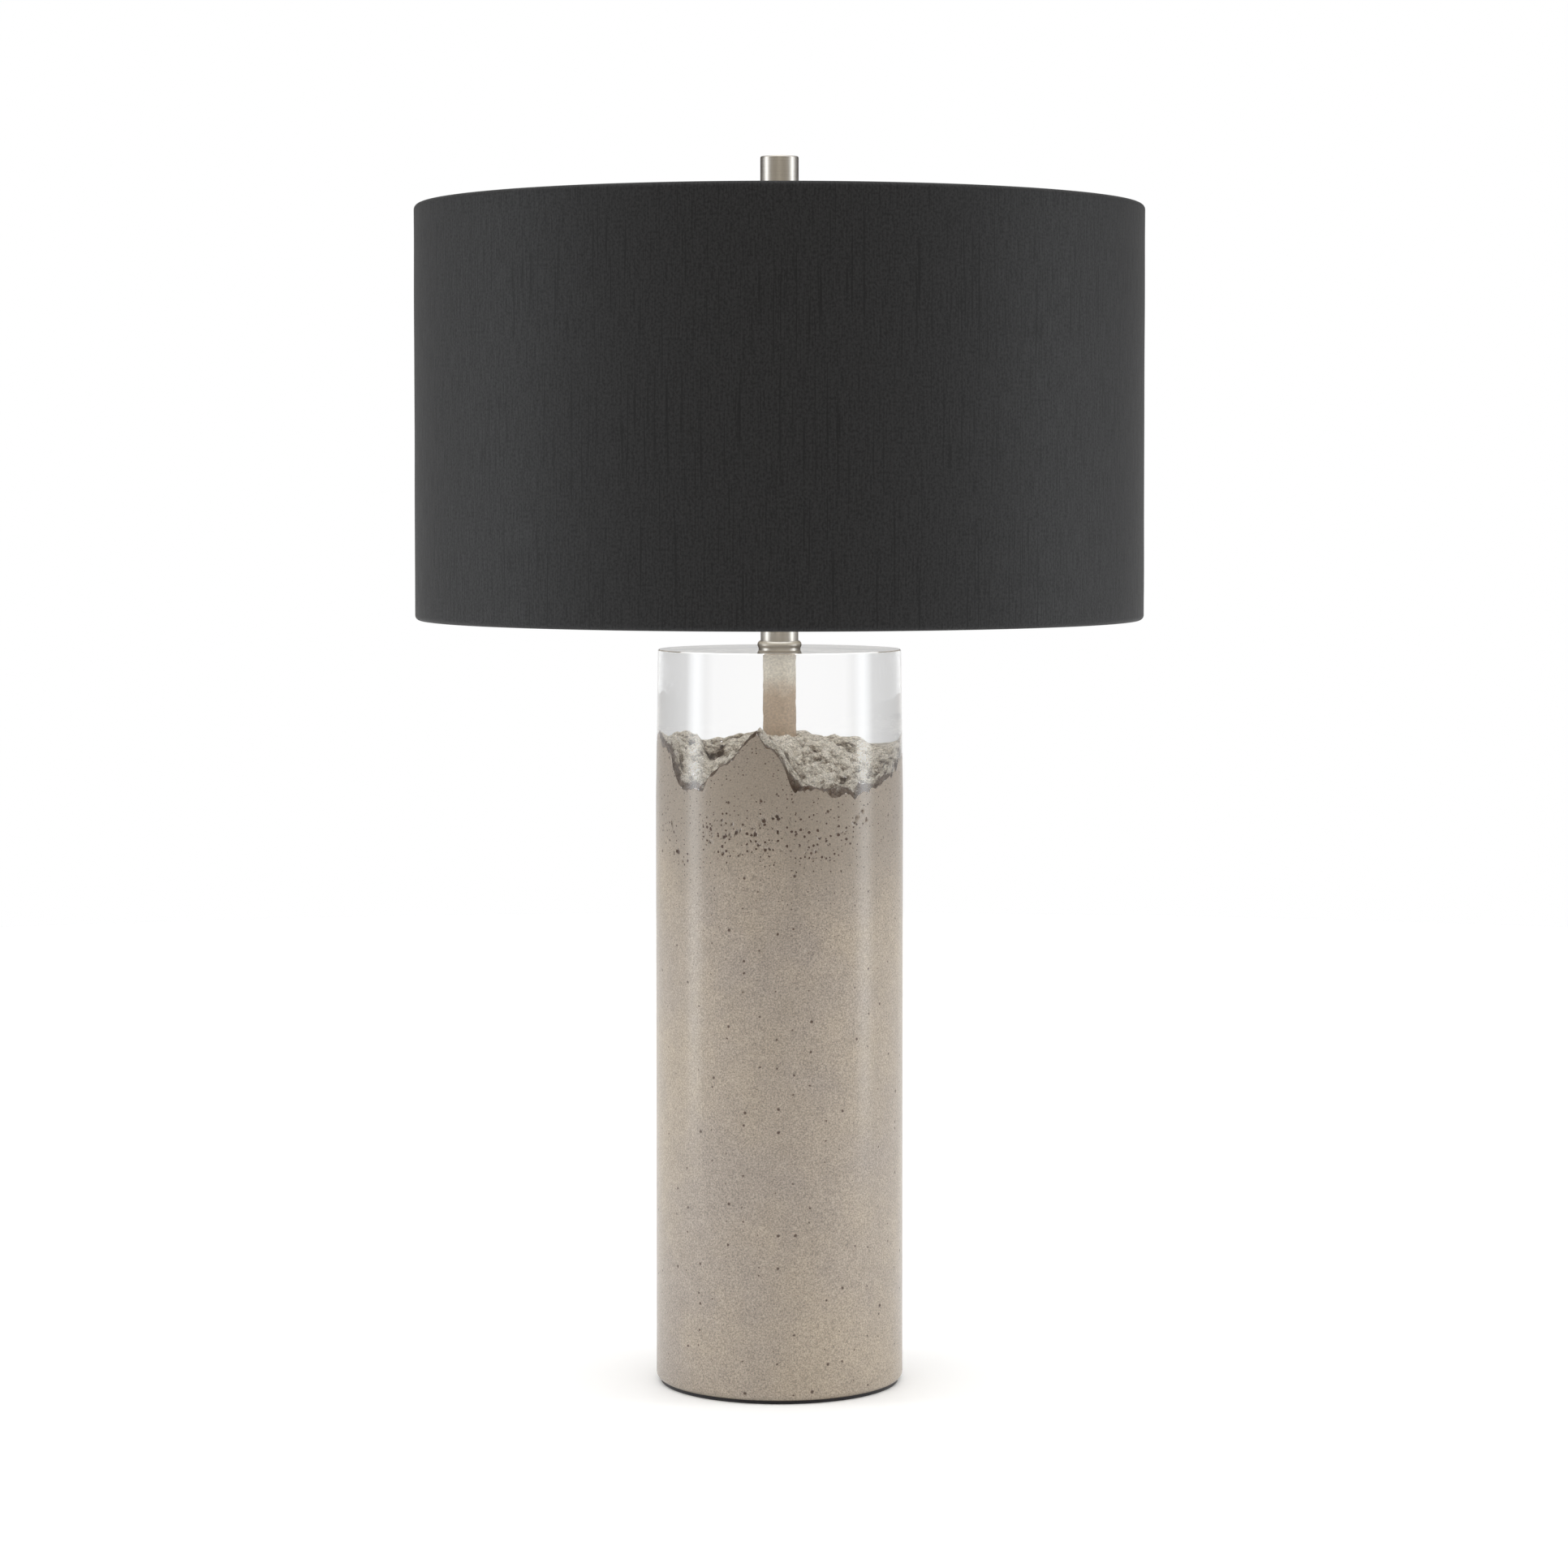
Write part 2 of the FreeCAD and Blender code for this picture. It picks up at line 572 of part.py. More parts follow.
# --- Shade and finial --------------------------------------------------------------------------------
def spider_arm():
    """One rod from the hub out to the ring, rising the spider's drop in a double bend."""
    low, high = (hub_base + hub_top) / 2, top_ring_level
    rise = high - low
    radius = max(SPIDER_BEND, abs(rise) / 2)
    turn = math.acos(1 - abs(rise) / 2 / radius)
    reach = radius * math.sin(turn)
    way = 1 if rise >= 0 else -1
    end = ring_radius - SPIDER_BEND_INSET
    start = end - 2 * reach
    first = [rz(start + radius * math.sin(turn * t), low + way * radius * (1 - math.cos(turn * t)))
             for t in (0, 0.5, 1)]
    second = [rz(end - radius * math.sin(turn * t), high - way * radius * (1 - math.cos(turn * t)))
              for t in (1, 0.5, 0)]
    hub_reach = (HUB_DIAMETER + STUD_DIAMETER) / 4
    return swept_rod([line(rz(hub_reach, low), first[0]), arc(*first), arc(*second),
                      line(second[2], rz(ring_radius, high))], SPIDER_ROD / 2)


def wire_ring(level):
    return Part.makeTorus(ring_radius, ring_wire_radius, vec(0, 0, level))


def shade_spider():
    """The welded spider: a flat hub that drops over the stud, and arms that end on the top ring."""
    hub = disc(HUB_DIAMETER / 2, HUB_THICKNESS, hub_base)
    arms = around(spider_arm(), SPIDER_ARMS, 90)
    above_hub = disc(HUB_DIAMETER / 2, SPIDER_ROD, hub_top)
    below_hub = disc(HUB_DIAMETER / 2, SPIDER_ROD, hub_base - SPIDER_ROD)
    hole = disc(STUD_DIAMETER / 2 + STUD_HOLE_CLEARANCE, HUB_THICKNESS * 3, hub_base - HUB_THICKNESS)
    spider = hub.fuse([arm.cut([above_hub, below_hub]) for arm in arms])
    return spider.cut([hole, wire_ring(top_ring_level)])


def shade_fabric():
    """The cloth drum with both edges rolled over the rings, slit where the spider's arms pass."""
    outer, inner = shade_radius, shade_radius - FABRIC_THICKNESS
    lip_out, lip_in = shade_radius - 2 * hem_radius, shade_radius - 2 * hem_radius + FABRIC_THICKNESS
    centre = shade_radius - hem_radius
    small = hem_radius - FABRIC_THICKNESS
    edges = [line(rz(outer, bottom_ring_level), rz(outer, top_ring_level)),
             line(rz(inner, bottom_ring_level), rz(inner, top_ring_level))]
    for level, way in ((top_ring_level, 1), (bottom_ring_level, -1)):
        leg = level - way * HEM_DEPTH
        edges += [
            arc(rz(outer, level), rz(centre, level + way * hem_radius), rz(lip_out, level)),
            arc(rz(inner, level), rz(centre, level + way * small), rz(lip_in, level)),
            line(rz(lip_out, level), rz(lip_out, leg)), line(rz(lip_in, level), rz(lip_in, leg)),
            line(rz(lip_out, leg), rz(lip_in, leg)),
        ]
    cloth = turned(edges)
    slit_radius, slit_length = SPIDER_ROD / 2 + HEM_SLIT_CLEARANCE, 4 * hem_radius
    slit_start = vec(ring_radius - slit_length, 0, top_ring_level)
    slit = Part.makeCylinder(slit_radius, slit_length, slit_start, vec(1, 0, 0))
    return cloth.cut(Part.makeCompound(around(slit, SPIDER_ARMS, 90)))


def shade_liner():
    return tube(liner_radius, liner_radius - LINER_THICKNESS, top_ring_level - bottom_ring_level,
                bottom_ring_level)


def finial():
    body = disc(FINIAL_DIAMETER / 2, FINIAL_HEIGHT, finial_base)
    body = body.makeFillet(FINIAL_EDGE, [e for e in body.Edges if len(e.Vertexes) == 1])
    depth = seat_level + STUD_HEIGHT - finial_base + FINIAL_BORE_SPARE
    return body.cut(disc(STUD_DIAMETER / 2 + FIT_CLEARANCE, depth, finial_base))


# --- Socket ------------------------------------------------------------------------------------------
def socket_cap():
    """The cup under the socket: a bored boss that screws onto the pipe, a flare, a shelf and a rim."""
    wall, shelf, bow = SOCKET_WALL, shell_base, SOCKET_BOW
    inner = socket_radius + FIT_CLEARANCE
    outer, shelf_edge = inner + wall, inner - SOCKET_SHELF
    boss, boss_top = CAP_BOSS_DIAMETER / 2, saddle_top + CAP_BOSS_HEIGHT
    rim = saddle_top + CAP_HEIGHT
    cup = [rz(shelf_edge, shelf), rz(inner, shelf), rz(inner, rim), rz(outer, rim),
           rz(outer, shelf - wall), rz(shelf_edge, shelf - wall)]
    foot = [rz(boss, boss_top - wall), rz(boss, saddle_top), rz(pipe_hole, saddle_top),
            rz(pipe_hole, boss_top), rz(boss - wall, boss_top)]
    bow_out = rz((boss + shelf_edge) / 2 + bow, (boss_top + shelf) / 2 - wall - bow)
    bow_in = rz((boss - wall + shelf_edge) / 2 + bow, (boss_top + shelf) / 2 - bow)
    edges = [line(a, b) for a, b in [*zip(cup, cup[1:]), *zip(foot, foot[1:])]]
    flare = [arc(cup[-1], bow_out, foot[0]), arc(foot[-1], bow_in, cup[0])]
    return turned([*edges, *flare]).cut(set_screw_bar(0, socket_radius / 2))


def set_screw_bar(start, length):
    level = saddle_top + CAP_BOSS_HEIGHT / 2
    return Part.makeCylinder(SET_SCREW_DIAMETER / 2, length, vec(start, 0, level), vec(1, 0, 0))


def socket_set_screw():
    """The slotted screw that locks the cap to the pipe."""
    bar = set_screw_bar(pipe_hole, SET_SCREW_LENGTH)
    box = bar.BoundBox
    slot = Part.makeBox(SLOT_WIDTH, SET_SCREW_DIAMETER, SLOT_WIDTH,
                        vec(box.XMax - SLOT_WIDTH, box.YMin, bar.CenterOfMass.z - SLOT_WIDTH / 2))
    return bar.cut(slot)


def shaft_hole(length, clearance):
    return rod_y(SHAFT_DIAMETER / 2 + clearance, -length, 0, shaft_level)


def socket_shell():
    """The spun outer shell, its mouth turned in a little."""
    outer, inner = socket_radius, socket_radius - SOCKET_WALL
    top = shell_base + SHELL_HEIGHT
    shell = turned_polygon([
        (inner, shell_base), (outer, shell_base), (outer, top - SHELL_LIP), (outer - SHELL_LIP, top),
        (inner - SHELL_LIP, top), (inner - SHELL_LIP, top - SOCKET_WALL), (inner, top - SHELL_LIP),
    ])
    return shell.cut(shaft_hole(outer * 1.2, MOVING_GAP))


def socket_liner():
    """The paper tube that insulates the shell."""
    height = SHELL_HEIGHT - SHELL_LIP - SOCKET_WALL
    paper = tube(paper_radius, paper_radius - LINER_TUBE_WALL, height, shell_base)
    return paper.cut(shaft_hole(socket_radius, MOVING_GAP))


def socket_body():
    """The moulded insulating body on its flange, bored for the shaft, the terminals and the rivets."""
    flange = disc(paper_radius - LINER_TUBE_WALL - FIT_CLEARANCE, SOCKET_FLANGE_THICKNESS, shell_base)
    body = disc(body_radius, SOCKET_BODY_HEIGHT, shell_base).fuse(flange).removeSplitter()
    pocket = rod_y(SHAFT_FLANGE / 2 + MOVING_GAP, -SHAFT_INSIDE - SHAFT_FLANGE_THICKNESS - MOVING_GAP,
                   -SHAFT_INSIDE + MOVING_GAP, shaft_level)
    return body.cut([shaft_hole(body_radius * 1.2, FIT_CLEARANCE), pocket, *terminal_shanks(),
                     *rivet_shanks()])


def terminal_shanks():
    start = body_radius - TERMINAL_SHANK_LENGTH
    return [Part.makeCylinder(TERMINAL_SHANK / 2, TERMINAL_SHANK_LENGTH, vec(s * start, 0, shaft_level),
                              vec(s, 0, 0)) for s in (-1, 1)]


def terminal_screws():
    """The two slotted wiring screws, one each side of the body."""
    screws = []
    depth = TERMINAL_HEAD_THICKNESS / 2
    for s, shank in zip((-1, 1), terminal_shanks()):
        seat = vec(s * body_radius, 0, shaft_level)
        head = Part.makeCylinder(TERMINAL_HEAD / 2, TERMINAL_HEAD_THICKNESS, seat, vec(s, 0, 0))
        face = s * (body_radius + TERMINAL_HEAD_THICKNESS)
        corner = vec(min(face, face - s * depth), -TERMINAL_HEAD / 2, shaft_level - SLOT_WIDTH / 2)
        slot = Part.makeBox(depth, TERMINAL_HEAD, SLOT_WIDTH, corner)
        screws.append(head.fuse(shank).removeSplitter().cut(slot))
    return Part.makeCompound(screws)


def rivet_places():
    """Where the rivets stand and the face that each one's head bears on."""
    ring = THREAD_RADIUS - RIVET_HEAD / 2 - MOVING_GAP
    foot = body_top + CONTACT_THICKNESS
    return [(0, ring, screw_floor_top), (0, -ring, screw_floor_top), (-CONTACT_LENGTH * 0.31, 0, foot)]


def rivet_shanks():
    return [disc(RIVET_SHANK / 2, RIVET_DEPTH + seat - body_top, body_top - RIVET_DEPTH, x, y)
            for x, y, seat in rivet_places()]


def socket_rivets():
    """Two rivets that hold the screw shell down, and one through the contact's foot."""
    heads = [disc(RIVET_HEAD / 2, RIVET_HEAD_THICKNESS, seat, x, y) for x, y, seat in rivet_places()]
    return Part.makeCompound([head.fuse(shank).removeSplitter()
                              for head, shank in zip(heads, rivet_shanks())])


def thread_edges(offset, base, turns):
    """One side of a rolled thread: alternate outward and inward arcs, half a pitch each."""
    edges = []
    for index in range(2 * turns):
        low = base + index * THREAD_PITCH / 2
        bulge = THREAD_DEPTH if index % 2 == 0 else -THREAD_DEPTH
        edges.append(arc(rz(THREAD_RADIUS + offset, low),
                         rz(THREAD_RADIUS + offset + bulge, low + THREAD_PITCH / 4),
                         rz(THREAD_RADIUS + offset, low + THREAD_PITCH / 2)))
    return edges


def screw_shell():
    """The rolled brass cup that the bulb screws into, its floor open for the centre contact."""
    inner, outer = MOVING_GAP, MOVING_GAP + SCREW_SHELL_WALL
    top = cap_thread_base + thread_length
    opening = math.hypot(CONTACT_LENGTH, CONTACT_WIDTH) / 2 + MOVING_GAP
    points = [rz(THREAD_RADIUS + inner, cap_thread_base), rz(THREAD_RADIUS + inner, screw_floor_top),
              rz(opening, screw_floor_top), rz(opening, body_top), rz(THREAD_RADIUS + outer, body_top),
              rz(THREAD_RADIUS + outer, cap_thread_base)]
    edges = [line(a, b) for a, b in zip(points, points[1:])]
    cup = turned([*edges, *thread_edges(inner, cap_thread_base, THREAD_TURNS),
                  *thread_edges(outer, cap_thread_base, THREAD_TURNS),
                  line(rz(THREAD_RADIUS + inner, top), rz(THREAD_RADIUS + outer, top))])
    return cup.cut(rivet_shanks())


def centre_contact():
    """A bent brass tongue under the bulb's tip: a flat foot and a raised end."""
    half, t = CONTACT_LENGTH / 2, CONTACT_THICKNESS
    base, top = body_top, contact_top
    outline = [(-half, base), (-half / 4, base), (half / 4, top - t), (half, top - t), (half, top),
               (half / 4 - t, top), (-half / 4 - t, base + t), (-half, base + t)]
    wire = Part.makePolygon([vec(x, -CONTACT_WIDTH / 2, z) for x, z in [*outline, outline[0]]])
    return Part.Face(wire).extrude(vec(0, CONTACT_WIDTH, 0)).cut(rivet_shanks())


def switch_shaft():
    flange_start = -SHAFT_INSIDE - SHAFT_FLANGE_THICKNESS
    end = -socket_radius - KNOB_STANDOFF - KNOB_ON_SHAFT
    flange = rod_y(SHAFT_FLANGE / 2, flange_start, -SHAFT_INSIDE, shaft_level)
    return rod_y(SHAFT_DIAMETER / 2, end, -SHAFT_INSIDE, shaft_level).fuse(flange).removeSplitter()


def switch_knob():
    """A round collar that runs out into a flattened paddle for finger and thumb."""
    start = -socket_radius - KNOB_STANDOFF
    end = start - KNOB_LENGTH
    grip = rod_y(KNOB_DIAMETER / 2, end, start, shaft_level)
    spare = (KNOB_DIAMETER - KNOB_PADDLE) / 2
    flats = [Part.makeBox(KNOB_DIAMETER, KNOB_LENGTH - KNOB_COLLAR, spare,
                          vec(-KNOB_DIAMETER / 2, end, level))
             for level in (shaft_level + KNOB_PADDLE / 2, shaft_level - KNOB_PADDLE / 2 - spare)]
    bore = rod_y(SHAFT_DIAMETER / 2, start - KNOB_ON_SHAFT, start, shaft_level)
    knob = grip.cut(flats)
    tips = [e for e in knob.Edges if e.BoundBox.YMax < end + 0.01]
    return knob.makeFillet(min(1.2, KNOB_PADDLE / 4), tips).cut(bore)


# --- Bulb --------------------------------------------------------------------------------------------
def bulb_cap():
    """The threaded metal cap: thread, plain skirt, and an inward lip below."""
    top, wall = bulb_cap_top, SCREW_SHELL_WALL
    thread_top = cap_thread_base + thread_length
    inner_wall = [line(rz(THREAD_RADIUS - wall, thread_top), rz(THREAD_RADIUS - wall, top)),
                  line(rz(THREAD_RADIUS - wall, top), rz(THREAD_RADIUS, top)),
                  line(rz(THREAD_RADIUS, top), rz(THREAD_RADIUS, thread_top)),
                  line(rz(THREAD_RADIUS, cap_thread_base), rz(THREAD_RADIUS - wall, cap_thread_base))]
    return turned([*inner_wall, *thread_edges(0, cap_thread_base, THREAD_TURNS),
                   *thread_edges(-wall, cap_thread_base, THREAD_TURNS)])


def bulb_insulator():
    """The dark vitrite cone between the cap and the centre contact."""
    return turned_polygon([
        (0, insulator_base), (BULB_CONTACT_DIAMETER / 2 + 1, insulator_base),
        (THREAD_RADIUS, cap_thread_base), (0, cap_thread_base),
    ])


def bulb_contact():
    """The cap's centre contact: a shallow ball segment, flat side up."""
    radius = BULB_CONTACT_DIAMETER / 2
    ball = (radius ** 2 + BULB_CONTACT_HEIGHT ** 2) / (2 * BULB_CONTACT_HEIGHT)
    sphere = Part.makeSphere(ball, vec(0, 0, bulb_tip + ball))
    return sphere.common(disc(ball, BULB_CONTACT_HEIGHT, bulb_tip))


def bulb_glass():
    """The blown envelope: a globe that runs down a waisted neck into the cap."""
    def half_section(offset):
        radius = BULB_DIAMETER / 2 - offset
        neck = THREAD_RADIUS - offset
        centre = bulb_crown - BULB_DIAMETER / 2
        joint_level = bulb_cap_top + BULB_NECK_RISE
        joint_radius = math.sqrt(radius ** 2 - (centre - joint_level) ** 2)
        joint, crown = rz(joint_radius, joint_level), rz(0, centre + radius)
        side = rz(radius, centre)
        slope = vec(centre - joint_level, 0, joint_radius).normalize()
        curve = Part.BSplineCurve()
        ends = [rz(neck, bulb_cap_top), joint]
        curve.interpolate(ends, InitialTangent=vec(0, 0, 1), FinalTangent=slope)
        return [curve.toShape(), arc(joint, side, crown)], rz(neck, bulb_cap_top), crown

    outer, outer_foot, outer_crown = half_section(0)
    inner, inner_foot, inner_crown = half_section(BULB_GLASS)
    return turned([*outer, *inner, line(outer_foot, inner_foot), line(outer_crown, inner_crown)])


# --- Build -------------------------------------------------------------------------------------------
def build():
    blank, above = casting(), above_the_break()
    return {
        "felt_pad": felt_pad(),
        "base_plate": base_plate(),
        "concrete_column": concrete_column(blank, above),
        "clear_top": clear_top_casting(blank, above),
        "cement_stem": cement_stem(),
        "cord_outlet_bush": cord_outlet(),
        "lamp_pipe": lamp_pipe(),
        "bottom_washer": flat_washer(),
        "bottom_lock_washer": lock_washer(),
        "bottom_nut": bottom_nut(),
        "check_ring": check_ring(),
        "neck_tube": neck_tube(),
        "neck_cap": neck_cap(),
        "harp_saddle": harp_saddle(),
        "harp_wire": harp_wire(),
        "harp_sleeve_left": harp_sleeve(-1),
        "harp_sleeve_right": harp_sleeve(1),
        "harp_stud": harp_stud(),
        "shade_spider": shade_spider(),
        "shade_top_ring": wire_ring(top_ring_level),
        "shade_bottom_ring": wire_ring(bottom_ring_level),
        "shade_fabric": shade_fabric(),
        "shade_liner": shade_liner(),
        "finial": finial(),
        "socket_cap": socket_cap(),
        "socket_set_screw": socket_set_screw(),
        "socket_shell": socket_shell(),
        "socket_paper_liner": socket_liner(),
        "socket_body": socket_body(),
        "socket_screw_shell": screw_shell(),
        "socket_contact": centre_contact(),
        "socket_rivets": socket_rivets(),
        "terminal_screws": terminal_screws(),
        "switch_shaft": switch_shaft(),
        "switch_knob": switch_knob(),
        "bulb_cap": bulb_cap(),
        "bulb_insulator": bulb_insulator(),
        "bulb_contact": bulb_contact(),
        "bulb_glass": bulb_glass(),
    }


os.makedirs("parts", exist_ok=True)
for node, shape in build().items():
    if not shape.isValid() or not shape.Solids or any(s.Volume <= 0 for s in shape.Solids):
        raise ValueError(f"{node} is not a sound solid")
    shape.exportStep(f"parts/{node}.step")
    print(f"{node}: {len(shape.Solids)} solid, {shape.Volume / 1000:.2f} cm3")
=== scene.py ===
"""A table lamp: a concrete column broken off under a water-clear casting, and a drum shade.

The script is laid out as an add-on: properties, one operator for each piece or group, one panel.
"""

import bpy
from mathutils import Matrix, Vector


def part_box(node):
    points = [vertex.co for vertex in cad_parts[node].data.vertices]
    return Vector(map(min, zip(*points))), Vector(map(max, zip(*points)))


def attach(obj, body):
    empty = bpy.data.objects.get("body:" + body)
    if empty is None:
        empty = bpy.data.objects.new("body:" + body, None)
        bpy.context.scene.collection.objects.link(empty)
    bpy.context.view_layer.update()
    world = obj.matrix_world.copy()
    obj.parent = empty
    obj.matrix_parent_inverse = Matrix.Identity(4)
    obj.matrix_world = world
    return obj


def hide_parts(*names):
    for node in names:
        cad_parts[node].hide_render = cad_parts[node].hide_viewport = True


bl_info = {
    "name": "Concrete Table Lamp",
    "version": (1, 0, 0),
    "blender": (4, 5, 0),
    "location": "3D View > Sidebar > Table Lamp",
    "description": "Surfaces, finishes and studio of a concrete and clear cast table lamp",
    "category": "Object",
}

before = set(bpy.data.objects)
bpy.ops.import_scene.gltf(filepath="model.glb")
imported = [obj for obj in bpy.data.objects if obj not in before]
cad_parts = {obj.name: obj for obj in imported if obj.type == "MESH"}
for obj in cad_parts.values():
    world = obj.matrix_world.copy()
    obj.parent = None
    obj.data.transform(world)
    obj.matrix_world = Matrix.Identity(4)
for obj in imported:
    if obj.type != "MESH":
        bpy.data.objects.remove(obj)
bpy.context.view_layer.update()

import math
from functools import partial

import bpy
import numpy as np
from bpy.props import FloatProperty, FloatVectorProperty, PointerProperty
from bpy.types import Operator, Panel, PropertyGroup
from mathutils import Vector

MM = 0.001
TURN = 2 * math.pi


def linear(hex_colour):
    """The linear red, green, blue and alpha of an sRGB colour written as six hex digits."""
    parts = [int(hex_colour[i:i + 2], 16) / 255 for i in (0, 2, 4)]
    return (*[c / 12.92 if c <= 0.04045 else ((c + 0.055) / 1.055) ** 2.4 for c in parts], 1.0)


def size(name, description, default):
    """A length that a user would change, in metres."""
    return FloatProperty(name=name, description=description, default=default, unit="LENGTH",
                         precision=5)


def number(name, description, default, **settings):
    """A number of another kind, with its unit or subtype and its limits."""
    return FloatProperty(name=name, description=description, default=default, **settings)


def tint(name, description, hex_colour):
    """A colour, given as sRGB hex."""
    return FloatVectorProperty(name=name, description=description, default=linear(hex_colour), size=4,
                               min=0, max=1, subtype="COLOR")


# --- Sizes that come from the frame ---
concrete_low, concrete_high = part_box("concrete_column")
stem_low, stem_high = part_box("cement_stem")
outlet_low, outlet_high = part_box("cord_outlet_bush")
cloth_low, cloth_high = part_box("shade_fabric")
plate_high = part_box("base_plate")[1]
column_radius = concrete_high.x
column_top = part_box("clear_top")[1].z
stem_radius = stem_high.x
cloth_radius = cloth_high.x
pipe_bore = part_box("lamp_pipe")[1].x + 0.1 * MM   # with air round the pipe

# --- Sizes of the shapes: metres where MM is written ---
# The broken edge: degrees from the front towards +X, and the drop below the clear face in mm.
CREST = (
    (-172, 66), (-157, 75), (-140, 69), (-112, 71), (-93, 58), (-79, 57), (-67, 61), (-62, 70),
    (-55, 84), (-48, 90), (-38, 89), (-34, 81), (-25, 72), (-18, 63), (-10.5, 50), (-5, 59), (0, 66),
    (6, 79), (11, 89), (18, 92), (25, 91), (31, 93), (41, 91), (49, 90), (61, 85), (71, 75), (82, 67),
    (96, 73), (118, 74), (140, 79), (156, 73), (168, 66),
)
# Hollows (and a hump, below zero) across the core: place along X, depth and reach in mm.
HOLLOWS = ((57, 8, 26), (-32, 5, 12), (-43, -4, 4), (-62, 4, 15))
# Clusters of pits: degrees from the front towards +X, height and reach in mm.
PIT_CLUSTERS = (
    (-24, 366, 12), (-30, 376, 9), (-17, 370, 11), (-2, 380, 9), (0, 363, 10), (7, 367, 11),
    (14, 375, 8), (19, 362, 9), (29, 371, 7), (-62, 372, 8), (-52, 356, 6), (40, 381, 6),
    (95, 370, 12), (132, 364, 10), (176, 374, 12), (-140, 366, 12), (-100, 376, 9),
)
# The broken stone: widths of its lumps, and their heights in mm.
RIPPLE_WIDTH, RIPPLE = 31 * MM, 2.2
CHIP_WIDTH, CHIP, CHIP_MORE, CHIP_REACH = 6 * MM, 2.2, 2.0, 3.5 * MM
BEND_WIDTH, BEND = 9 * MM, 3 * MM
COARSE_WIDTH, COARSE = 15 * MM, 4.6
MIDDLE_WIDTH, MIDDLE = 6.5 * MM, 2.8
FINE_WIDTH, FINE = 2.8 * MM, 1.9
GRIT_WIDTH, GRIT = 3 * MM, 0.9
SINK = 3.2              # how far the stone is lowered again
# The pits in a cluster: one at most in a cell, in this share of the cells.
PIT_CELL, PIT_SHARE = 5.0 * MM, 0.5
PIT_LEAST, PIT_MOST, PIT_DEPTH = 0.8 * MM, 1.7 * MM, 1.1 * MM
FINE_WALL = 96 * MM     # the part of the wall under the break whose rows lie close together
RIM_WEAR = 0.25 * MM    # how deep the wall is worn just under the break
STEM_ROUGH, STEM_MOST, STEM_LUMP = 0.16, 0.25, 5 * MM   # heights in mm
CLOTH_RIPPLE = 0.12 * MM    # the drum's wall is uneven by this much
SLIT = 2.4 * MM         # half the slit for a spider's arm
STUB = 2.0 * MM         # where the cloth's upper leg ends in a slit, above the roll's centre
COLUMN_ANGLES, BROKEN_ROWS, CLOTH_COLUMNS = 480, 66, 810
ATTRIBUTES = ("from_crest", "cracks", "pitted", "pit_zone")


class LampConcrete(PropertyGroup):
    """The cast column, the cement round the pipe and the broken edge."""

    tan: tint("Tan", "Cement paste where the sand is warm", "A39685")
    lilac: tint("Lilac grey", "Cement paste where it set cooler", "998E83")
    pale: tint("Pale stone", "Crushed stone in the broken edge", "D3CBBE")
    # lime-rich patches, and painted light on the tops of the broken stone
    cream_and_top_light: tint("Cream", "Lime-rich patches in the broken edge", "F6F0E6")
    # brown along the ragged rim of the break
    rim_brown: tint("Brown", "Ragged rim and cracks of the broken edge", "5C4029")
    # painted shade inside the pits
    pit_shade: tint("Dark brown", "Inside of pits", "3A1F0C")
    shaded: tint("Shaded paste", "Darker cement paste under the break", "867C71")
    # the stone's own colour, on the darker side of the ramp that paints shade into the cracks
    stone: tint("Stone", "Crushed stone between its cracks and its tops", "988B7C")
    # painted shade in the cracks of the broken stone
    crack_shade: tint("Crack", "Bottoms of the cracks in the broken edge", "4A3A2C")
    sandy: tint("Sandy cement", "Lower part of the cement round the pipe", "CBB8A4")
    creamy: tint("Creamy cement", "Top of the cement round the pipe", "F0E9DC")
    patch: size("Patches", "Width of the warm and cool patches", 110 * MM)
    grit: size("Grit", "Width of the sand grains at the surface", 1.0 * MM)
    crumb: size("Crumbs", "Width of the lumps that colour the broken stone", 4 * MM)
    pinhole: size("Pinholes", "Distance between pinholes", 11 * MM)
    speck: size("Specks", "Distance between the small specks", 2.9 * MM)
    foot: size("Foot rounding", "Radius of the column's lower edge", 4 * MM)
    ledge: size("Ledge", "Width of the ledge that the base plate bears on", 5 * MM)
    plate_room: size("Plate room", "Gap round the base plate", 0.5 * MM)
    roof: size("Roof", "Concrete between the cavity and the lowest notch", 45 * MM)
    corner: size("Cavity corner", "Radius at the top of the cavity", 12 * MM)
    core_drop: size("Core drop", "Clear face down to the broken core", 60 * MM)
    core: number("Core share", "Share of the radius where the broken core is level", 0.30, min=0,
                 max=1, subtype="FACTOR")


class LampCasting(PropertyGroup):
    """The clear casting."""

    ior: number("IOR", "Refraction of cast acrylic", 1.49, min=1, max=2, subtype="FACTOR")
    depth: size("Depth", "Clear face down to below the lowest notch", 98 * MM)
    draft: size("Draft", "How far the radius tapers over the depth", 1.4 * MM)
    bevel: size("Bevel", "Bevel round the polished face", 0.6 * MM)
    bite: size("Bite", "How deep the clear surface lies in the concrete, so no air shows", 0.3 * MM)


class LampShade(PropertyGroup):
    """The drum's cloth and film."""

    cloth: tint("Cloth", "Charcoal yarn", "212122")
    slub: tint("Slub", "Paler thick yarn", "282829")
    shadow: tint("Between yarns", "Darkest gaps in the weave", "161617")
    film: tint("Film", "Styrene film behind the cloth", "EDE8DD")
    thickness: size("Cloth thickness", "Thickness of the cloth", 0.6 * MM)
    roll: size("Roll", "Radius of the hem round the ring", 3.3 * MM)
    hem: size("Hem leg", "How far the cloth turns back behind the ring", 7 * MM)
    lap: size("Lap", "Overlap at the seam at the back", 12 * MM)
    slub_width: size("Slub width", "Width of a thick yarn", 0.9 * MM)
    slub_length: size("Slub length", "Length of a thick stretch of yarn", 16 * MM)
    thread: size("Thread", "Distance at which the weave's threads are drawn", 1.5 * MM)


